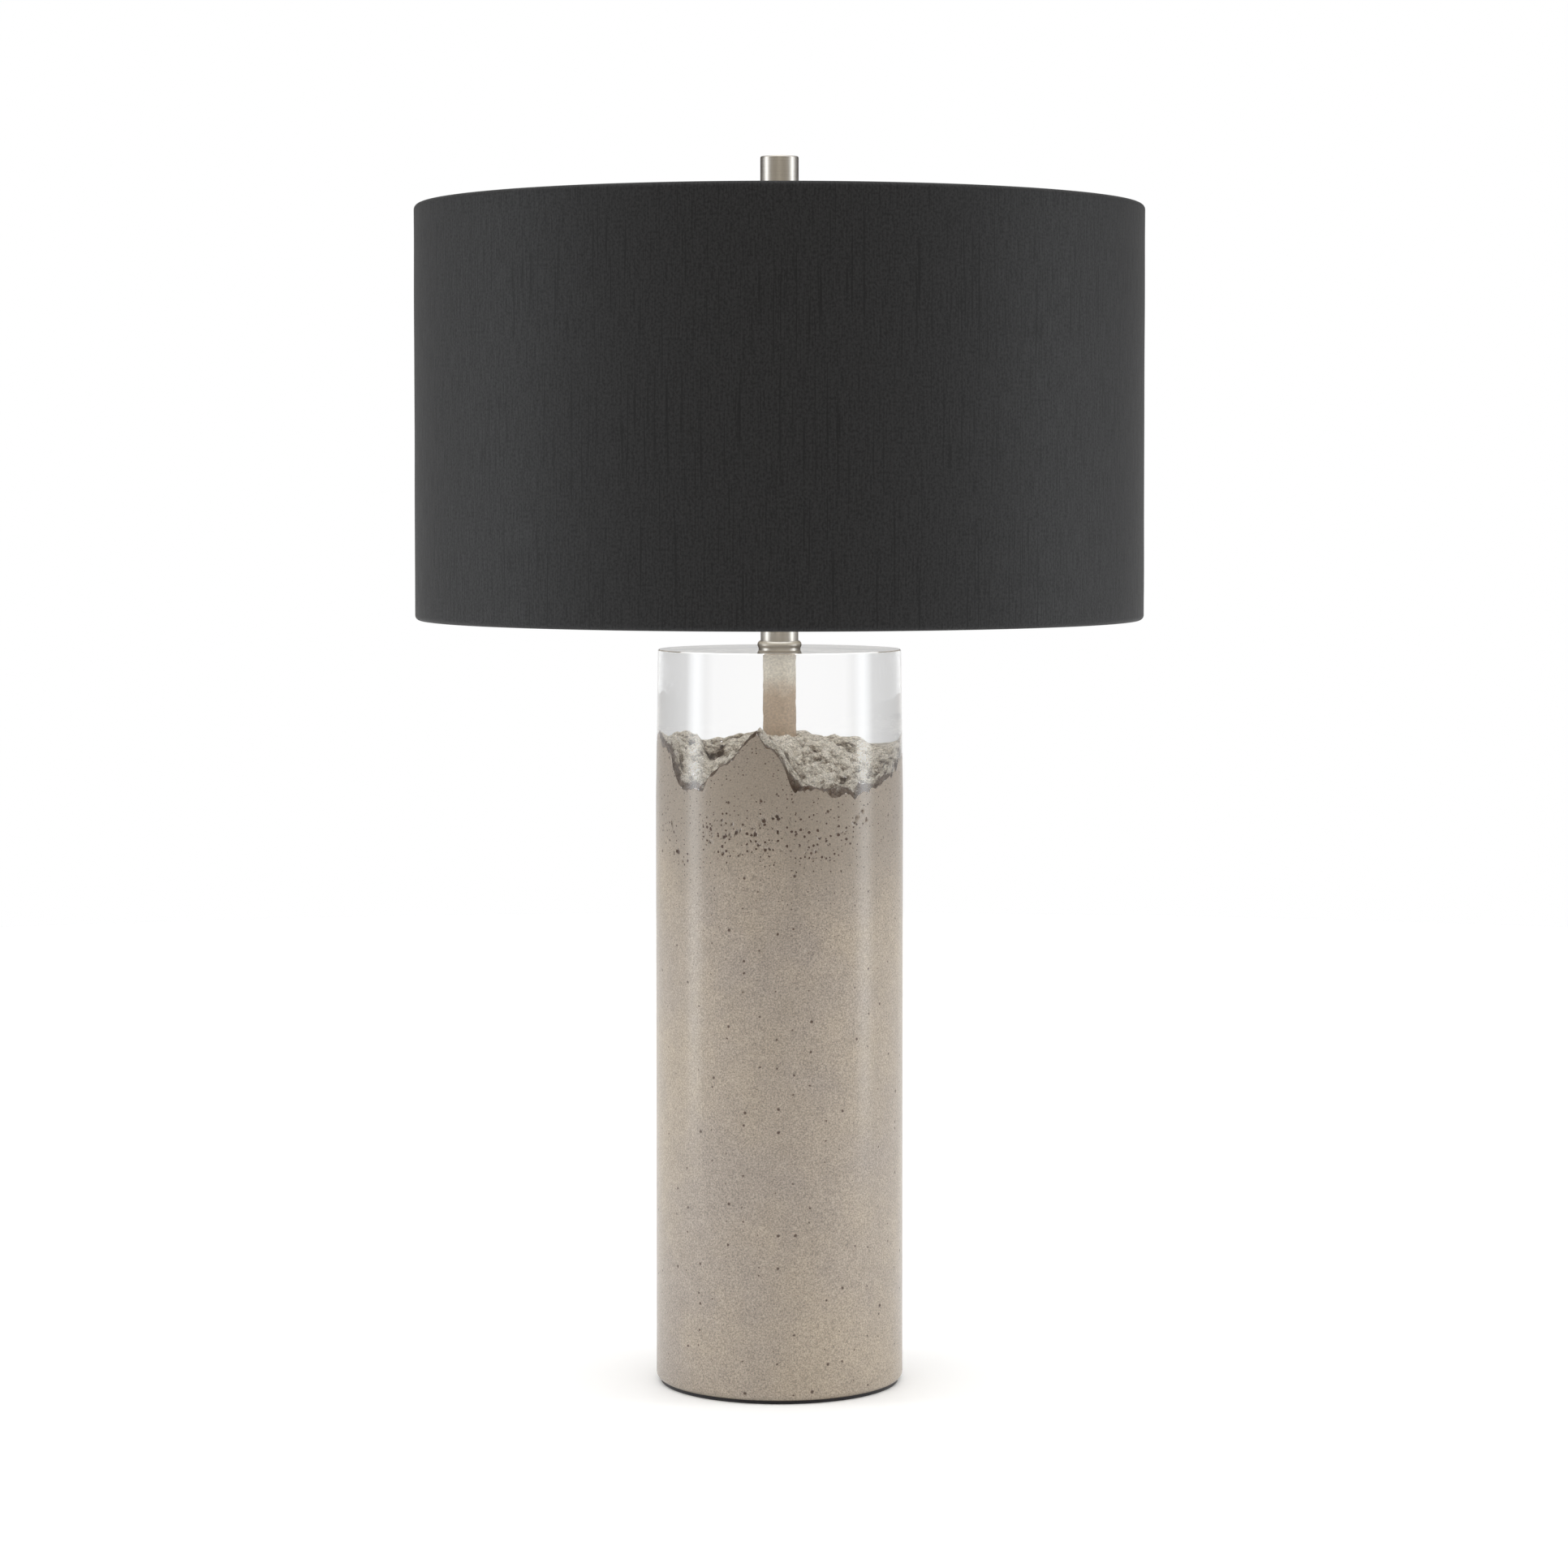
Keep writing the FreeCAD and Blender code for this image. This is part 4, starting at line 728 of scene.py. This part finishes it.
def cement_paste(concrete):
    """Cement poured round the pipe: pale and creamy near the top, sandy and speckled lower down."""
    material, tree, shader = finish("poured_cement", IOR=1.5, Roughness=0.7)
    add = partial(put, tree)
    where = add(SPLIT, (add(WHERE).outputs["Object"],))
    wander = add(MATH, (grain(tree, 7 * MM, 4.0, 0.5), 16 * MM), operation="MULTIPLY")
    level = add(MATH, (where.outputs["Z"], wander), operation="ADD")
    upper = add(RANGE, (level, stem_high.z - 22 * MM, stem_high.z - 8 * MM))
    tone = add(MIX, {SHARE: upper, FIRST: concrete.sandy, SECOND: concrete.creamy}, **BLEND)
    grit = grain(tree, 1.1 * MM, 2.0, 0.5)
    grains = add(RANGE, (grit, 0.3, 0.7, 0.84, 1.16))
    colour = add(MIX, {SHARE: 1.0, FIRST: tone, SECOND: grains}, **TIMES)
    relief = add(BUMP, {"Height": grit, "Distance": 0.2 * MM, "Strength": 0.8})
    connect(tree, shader, Base_Color=colour, Normal=relief)
    return material


def clear_acrylic(casting):
    """Water-clear cast acrylic, polished: colourless, with sharp reflections."""
    material, tree, shader = finish("clear_cast_acrylic", IOR=casting.ior, Transmission_Weight=1.0,
                                    Base_Color=(1, 1, 1, 1))
    add = partial(put, tree)
    polish = add(RANGE, (grain(tree, 40 * MM, 2.0, 0.5), 0.0, 1.0, 0.0, 0.02))
    connect(tree, shader, Roughness=polish)
    return material


def slub_cloth(shade):
    """Slub-woven polyester in charcoal, faintly shiny: thick yarns run up the drum at random.

    The weave's own threads are about 0.35 mm apart, too fine to show, so they are drawn 1.5 mm apart.
    Every few centimetres a tight yarn makes a thin dark line, up to 90 mm long.
    """
    material, tree, shader = finish("slub_woven_cloth", Sheen_Weight=0.04, Sheen_Roughness=0.4,
                                    Sheen_Tint=(1, 1, 1, 1), IOR=1.5, Specular_IOR_Level=0.25)
    add = partial(put, tree)

    def yarns(width, length, layers):
        """Streaks of that width round the drum and that length up it."""
        return grain(tree, width, layers, 0.6, (1, length / width, 1), "UV", noise_dimensions="2D")

    slubs = yarns(shade.slub_width, shade.slub_length, 2.0)
    threads = yarns(shade.thread, 1.2 * shade.thread, 2.0)
    lines = add(RANGE, (yarns(1.6 * MM, 90 * MM, 1.0), 0.28, 0.34, -0.26, 0.0))
    weave = add(MATH, (slubs, 0.45, threads), operation="MULTIPLY_ADD")
    weave = add(MATH, (weave, lines), operation="ADD")
    tone = add(RANGE, (weave, 0.50, 0.96))
    colour = add(RAMP, (tone,), [(0.1, shade.shadow), (0.45, shade.cloth), (0.95, shade.slub)])
    polish = add(RANGE, (slubs, 0.3, 0.7, 0.70, 0.6))
    relief = add(BUMP, {"Height": weave, "Distance": 0.06 * MM, "Strength": 0.5})
    connect(tree, shader, Base_Color=colour, Roughness=polish, Normal=relief)
    return material


def dress(material, *nodes):
    """Gives CAD nodes that material in all their slots."""
    for name in nodes:
        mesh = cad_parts[name].data
        mesh.materials.clear()
        mesh.materials.append(material)


def put_on(piece, material, body, slot, *nodes):
    """Finishes a new piece: its material, the body that it rides on, and hides what it stands for;
    slot is not used.
    """
    piece.data.materials.append(material)
    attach(piece, body)
    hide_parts(*nodes)


# --- Operators ---
# The bar that cuts the cord outlet: sides, reach from the axis, the bush's radius, the seat's depth.
BAR_SIDES = 64
BAR_START, BAR_END = 60 * MM, 95 * MM
BUSH_RADIUS = 6.3 * MM
SEAT_DEPTH = 1.0 * MM
SEAT_GAP = 0.1 * MM


def cut_outlet(piece):
    """Cuts the cord outlet's hole and its shallow seat out of the wall, with a stepped round bar."""
    centre = (outlet_low + outlet_high) / 2
    flange = (outlet_high.x - outlet_low.x) / 2 + SEAT_GAP
    seat = column_radius - SEAT_DEPTH
    rings = [(BUSH_RADIUS, BAR_START), (BUSH_RADIUS, seat), (flange, seat), (flange, BAR_END)]
    angles = np.arange(BAR_SIDES) * TURN / BAR_SIDES
    points = np.concatenate([np.stack([r * np.cos(angles) + centre.x, y + 0 * angles,
                                       r * np.sin(angles) + centre.z], -1) for r, y in rings])
    index = np.arange(len(rings) * BAR_SIDES).reshape(len(rings), BAR_SIDES)
    turned = np.roll(index, -1, axis=1)
    sides = np.stack([index[:-1], turned[:-1], turned[1:], index[1:]], axis=-1).reshape(-1, 4)
    bar = bpy.data.meshes.new("outlet_bar")
    bar.from_pydata(points, [], [*sides.tolist(), index[0, ::-1].tolist(), index[-1].tolist()])
    bar.flip_normals()
    cutter = place("outlet_bar", bar)
    cut = piece.modifiers.new("outlet", "BOOLEAN")
    cut.object, cut.operation, cut.solver = cutter, "DIFFERENCE", "EXACT"
    graph = bpy.context.evaluated_depsgraph_get()
    mesh = bpy.data.meshes.new_from_object(piece.evaluated_get(graph))
    piece.modifiers.clear()
    piece.data = mesh
    bpy.data.objects.remove(cutter)


class LAMP_OT_concrete_column(Operator):
    """Cast the concrete column with its broken upper edge"""

    bl_idname = "lamp.concrete_column"
    bl_label = "Concrete Column"

    def execute(self, context):
        concrete, casting = context.scene.lamp_concrete, context.scene.lamp_casting
        points, values = concrete_shape(concrete, casting)
        piece = grid_piece("cast_column", points, values, crease=20)
        cut_outlet(piece)
        piece.data.materials.clear()
        put_on(piece, cast_concrete(concrete), "base", "concrete", "concrete_column")
        return {"FINISHED"}


class LAMP_OT_clear_casting(Operator):
    """Pour the clear casting over the broken edge"""

    bl_idname = "lamp.clear_casting"
    bl_label = "Clear Casting"

    def execute(self, context):
        concrete, casting = context.scene.lamp_concrete, context.scene.lamp_casting
        piece = grid_piece("clear_casting", casting_shape(concrete, casting))
        put_on(piece, clear_acrylic(casting), "base", "clear_resin", "clear_top")
        return {"FINISHED"}


class LAMP_OT_cement_stem(Operator):
    """Pour the cement sleeve round the pipe"""

    bl_idname = "lamp.cement_stem"
    bl_label = "Cement Stem"

    def execute(self, context):
        piece = grid_piece("poured_stem", stem_shape())
        put_on(piece, cement_paste(context.scene.lamp_concrete), "base", "cement", "cement_stem")
        return {"FINISHED"}


class LAMP_OT_shade_cloth(Operator):
    """Roll the cloth round the drum and over its rings"""

    bl_idname = "lamp.shade_cloth"
    bl_label = "Shade Cloth"

    def execute(self, context):
        shade = context.scene.lamp_shade
        points, texture_map, flat = cloth_shape(shade)
        piece = grid_piece("drum_cloth", points, texture_map=texture_map)
        put_on(piece, slub_cloth(shade), "shade", "shade_cloth", "shade_fabric")
        return {"FINISHED"}


class LAMP_OT_shade_frame(Operator):
    """Finish the film, the rings and the spider"""

    bl_idname = "lamp.shade_frame"
    bl_label = "Shade Frame"

    def execute(self, context):
        shade, metal = context.scene.lamp_shade, context.scene.lamp_metal
        # extruded film: cream, smooth and half matt
        dress(mottled("styrene_film", shade.film, "F4F0E6", 3 * MM, rough=(0.35, 0.5),
                      height=0.01 * MM, IOR=1.57), "shade_liner")
        # drawn and welded wire, nickel plated: bright, with faint drawing marks
        dress(mottled("plated_wire", metal.wire, metal.nickel, 2 * MM, rough=(0.25, 0.4),
                      height=0.004 * MM, Metallic=1.0),
              "shade_top_ring", "shade_bottom_ring", "shade_spider")
        return {"FINISHED"}


class LAMP_OT_nickel_parts(Operator):
    """Finish the brushed nickel parts"""

    bl_idname = "lamp.nickel_parts"
    bl_label = "Nickel Parts"

    def execute(self, context):
        metal = context.scene.lamp_metal
        # brushed on a lathe: fine lines run round the part, so the pattern changes fastest upwards
        # the glancing tint paints shade along the outlines
        dress(mottled("brushed_nickel", metal.dull, metal.nickel, metal.brush, (200, 200, 1),
                      (0.29, 0.39), 0.003 * MM, Metallic=1.0, Anisotropic=0.3,
                      Specular_Tint=metal.edge),
              "check_ring", "neck_tube", "neck_cap", "finial", "harp_sleeve_left",
              "harp_sleeve_right", "harp_stud")
        # pressed strip and drawn wire, plated without brushing: smooth and a little brighter
        dress(mottled("plated_steel", metal.wire, metal.nickel, 3 * MM, rough=(0.2, 0.34),
                      height=0.004 * MM, Metallic=1.0), "harp_saddle", "harp_wire")
        return {"FINISHED"}


class LAMP_OT_socket(Operator):
    """Finish the socket and its switch"""

    bl_idname = "lamp.socket"
    bl_label = "Socket"

    def execute(self, context):
        metal = context.scene.lamp_metal
        # drawn brass, nickel plated: bright, with faint rings from the lathe
        dress(mottled("plated_brass_shell", metal.dull, metal.nickel, 1 * MM, (30, 30, 1), (0.2, 0.3),
                      0.004 * MM, Metallic=1.0), "socket_shell", "socket_cap")
        # turned brass: yellow, with rings from the lathe
        dress(mottled("turned_brass", "B08D48", metal.brass, 0.6 * MM, (30, 30, 1), (0.22, 0.36),
                      0.004 * MM, Metallic=1.0),
              "socket_screw_shell", "socket_contact", "socket_rivets")
        # zinc plated screws: blue-white and cloudy
        dress(mottled("zinc_plated_screw", "9EA1A6", metal.zinc, 1.5 * MM, rough=(0.25, 0.4),
                      Metallic=1.0), "terminal_screws", "socket_set_screw", "switch_shaft")
        # vulcanised paper: tan and matt, with fibres up the tube
        dress(mottled("vulcanised_paper", "8B7A5E", "A08F70", 0.8 * MM, (1, 1, 8), (0.75, 0.9),
                      0.05 * MM), "socket_paper_liner")
        # moulded phenolic: brown-black with a soft gloss
        dress(mottled("moulded_phenolic", "15110F", "1F1A17", 2 * MM, rough=(0.25, 0.4), IOR=1.63),
              "socket_body", "switch_knob")
        return {"FINISHED"}


class LAMP_OT_bulb(Operator):
    """Finish the bulb"""

    bl_idname = "lamp.bulb"
    bl_label = "Bulb"

    def execute(self, context):
        metal = context.scene.lamp_metal
        # blown glass, frosted inside: white and milky
        dress(mottled("frosted_glass", "E9E7E2", "F5F4F0", 6 * MM, rough=(0.45, 0.6), IOR=1.52,
                      Subsurface_Weight=0.3, Subsurface_Radius=(0.01, 0.01, 0.01)), "bulb_glass")
        # rolled aluminium: grey-white and half matt
        dress(mottled("rolled_aluminium", "B4B6B9", metal.aluminium, 2 * MM, rough=(0.3, 0.42),
                      Metallic=1.0), "bulb_cap")
        # vitrite, a black glass melted into the cap: glossy
        dress(mottled("vitrite", "141318", "1E1D24", 2 * MM, rough=(0.08, 0.2), IOR=1.55),
              "bulb_insulator")
        # a blob of solder: grey with dull spots
        dress(mottled("soft_solder", "8F9092", "B5B6B8", 1.5 * MM, rough=(0.35, 0.5), Metallic=1.0),
              "bulb_contact")
        return {"FINISHED"}


class LAMP_OT_foot(Operator):
    """Finish the felt, the cord outlet and the fixings under the column"""

    bl_idname = "lamp.foot"
    bl_label = "Foot"

    def execute(self, context):
        metal = context.scene.lamp_metal
        # pressed wool felt: matt, with short fibres, which the sheen stands for
        dress(mottled("wool_felt", "1B1A1C", "2C2A2E", 0.8 * MM, rough=(0.9, 1.0), height=0.2 * MM,
                      Sheen_Weight=0.3), "felt_pad")
        # moulded nylon: black with a dull gloss
        dress(mottled("moulded_nylon", "131314", "1D1D1E", 2 * MM, rough=(0.35, 0.5), IOR=1.53),
              "cord_outlet_bush")
        # zinc plated steel: blue-white, with clouds a few millimetres wide
        dress(mottled("zinc_plated_steel", "9EA1A6", metal.zinc, 6 * MM, rough=(0.3, 0.45),
                      Metallic=1.0),
              "base_plate", "bottom_washer", "bottom_lock_washer", "bottom_nut", "lamp_pipe")
        return {"FINISHED"}


FLOOR_SIDES = 96
FLOOR_DROP = 2.1 * MM   # the concrete's lower face down to the floor: the felt, and a hair's gap


class LAMP_OT_studio(Operator):
    """Set up the floor, the lights and the camera"""

    bl_idname = "lamp.studio"
    bl_label = "Studio"

    def execute(self, context):
        studio = context.scene.lamp_studio
        angles = np.arange(FLOOR_SIDES) * TURN / FLOOR_SIDES
        mesh = bpy.data.meshes.new("studio_floor")
        mesh.from_pydata(turned_points(angles, studio.floor_radius, concrete_low.z - FLOOR_DROP), [],
                         [tuple(range(FLOOR_SIDES))])
        floor = place("studio_floor", mesh)
        # painted board: even, pale and matt
        paint = mottled("matt_floor_paint", studio.floor, studio.floor, 0.3, rough=(0.85, 0.9))
        floor.data.materials.append(paint)
        softboxes(studio)
        room_light(context.scene, studio)
        camera = place("camera", bpy.data.cameras.new("camera"))
        camera.data.lens, camera.data.shift_y = studio.lens, studio.shift
        camera.data.clip_end = 100
        camera.location = (studio.aside, -studio.distance, studio.eye)
        camera.rotation_euler = (math.pi / 2 - studio.pitch, 0, 0)
        context.scene.camera = camera
        context.scene.view_settings.view_transform = "Standard"
        return {"FINISHED"}


def softboxes(studio):
    """Two tall softboxes, one each side, which fade smoothly from their middles to their edges."""
    for side in (-1, 1):
        light = bpy.data.lights.new("softbox", "AREA")
        light.shape = "RECTANGLE"
        light.size, light.size_y = studio.softbox_width, studio.softbox_length
        light.energy, light.color = studio.softbox, studio.softbox_colour
        light.use_nodes = True
        tree = light.node_tree
        add = partial(put, tree)
        face = add(SPLIT, (add(WHERE).outputs["UV"],))
        folds = [add(MATH, (face.outputs[axis], 0.5), operation="PINGPONG") for axis in ("X", "Y")]
        fades = [add(RANGE, (fold, 0.0, 0.5), interpolation_type="SMOOTHSTEP") for fold in folds]
        fade = add(MATH, fades, operation="MULTIPLY")
        feed(tree, tree.nodes["Emission"].inputs["Strength"], fade)
        lamp = place("softbox", light)
        lamp.location = (side * studio.softbox_reach, -studio.softbox_forward, studio.softbox_level)
        away = Vector((lamp.location.x, lamp.location.y, 0))
        lamp.rotation_euler = away.to_track_quat("Z", "Y").to_euler()
        lamp.visible_camera = False


# The room by direction, from in front (0) to behind the lamp (1): linear red, green and blue, below
# the horizon and above it, where black flags stand at both sides behind the lamp.
ROOM_BELOW = (
    (0.0, (0.66, 0.61, 0.54)), (0.10, (0.30, 0.27, 0.24)), (0.20, (0.38, 0.35, 0.31)),
    (0.33, (0.32, 0.30, 0.27)), (0.42, (0.7,) * 3), (0.60, (0.6,) * 3), (0.74, (0.66,) * 3),
    (0.82, (0.74,) * 3), (0.88, (1.0,) * 3), (1.0, (1.0,) * 3),
)
ROOM_ABOVE = (
    (0.0, (0.60, 0.55, 0.46)), (0.10, (0.29, 0.26, 0.21)), (0.20, (0.38, 0.34, 0.28)),
    (0.33, (0.32, 0.29, 0.25)), (0.42, (0.6,) * 3), (0.60, (0.5,) * 3), (0.66, (0.06, 0.05, 0.04)),
    (0.90, (0.06, 0.05, 0.04)), (0.96, (0.72,) * 3), (1.0, (0.72,) * 3),
)
CEILING = (1.9, 1.9, 1.9, 1.0)
WHITE = (1.0, 1.0, 1.0, 1.0)


def room_light(scene, studio):
    """The room, by direction: dim behind the camera, pale at the sides, white behind and above.

    What the camera sees past the lamp is plain white.
    """
    world = bpy.data.worlds.new("room")
    scene.world = world
    world.use_nodes = True
    tree = world.node_tree
    tree.nodes.clear()
    add = partial(put, tree)
    way = add(SPLIT, (add(WHERE).outputs["Generated"],))
    forward = add(MATH, (way.outputs["Y"], -1.0), operation="MULTIPLY")
    turn = add(MATH, (way.outputs["X"], forward), operation="ARCTAN2")
    turn = add(MATH, (turn,), operation="ABSOLUTE")
    turn = add(MATH, (turn, math.pi), operation="DIVIDE")
    below, above = (add(RAMP, (turn,), [(position, (*colour, 1)) for position, colour in room])
                    for room in (ROOM_BELOW, ROOM_ABOVE))
    horizon = add(RANGE, (way.outputs["Z"], -0.01, 0.02))
    walls = add(MIX, {SHARE: horizon, FIRST: below, SECOND: above}, **BLEND)
    height = add(RANGE, (way.outputs["Z"], 0.35, 0.9))
    room = add(MIX, {SHARE: height, FIRST: walls, SECOND: CEILING}, **BLEND)
    lit = add("ShaderNodeBackground", {"Color": room, "Strength": studio.room})
    plain = add("ShaderNodeBackground", {"Color": WHITE, "Strength": 1.0})
    path = add("ShaderNodeLightPath")
    seen = add("ShaderNodeMixShader", (path.outputs["Is Camera Ray"], lit, plain))
    add("ShaderNodeOutputWorld", {"Surface": seen})


class LAMP_PT_panel(Panel):
    """Everything that builds the lamp"""

    bl_idname = "LAMP_PT_panel"
    bl_label = "Table Lamp"
    bl_space_type = "VIEW_3D"
    bl_region_type = "UI"
    bl_category = "Table Lamp"

    def draw(self, context):
        for operator in OPERATORS:
            self.layout.operator(operator.bl_idname)


GROUPS = {"lamp_concrete": LampConcrete, "lamp_casting": LampCasting, "lamp_shade": LampShade,
          "lamp_metal": LampMetal, "lamp_studio": LampStudio}
OPERATORS = (LAMP_OT_studio, LAMP_OT_concrete_column, LAMP_OT_clear_casting, LAMP_OT_cement_stem,
             LAMP_OT_shade_cloth, LAMP_OT_shade_frame, LAMP_OT_nickel_parts, LAMP_OT_socket,
             LAMP_OT_bulb, LAMP_OT_foot)
CLASSES = (*GROUPS.values(), *OPERATORS, LAMP_PT_panel)


def register():
    """Registers the classes, and gives the scene its groups of sizes and colours."""
    for each in CLASSES:
        bpy.utils.register_class(each)
    for name, group in GROUPS.items():
        setattr(bpy.types.Scene, name, PointerProperty(type=group))


def unregister():
    """Takes the groups and the classes away again."""
    for name in GROUPS:
        delattr(bpy.types.Scene, name)
    for each in reversed(CLASSES):
        bpy.utils.unregister_class(each)


def main():
    register()
    for operator in OPERATORS:
        group, action = operator.bl_idname.split(".")
        getattr(getattr(bpy.ops, group), action)()


if __name__ == "__main__":
    main()
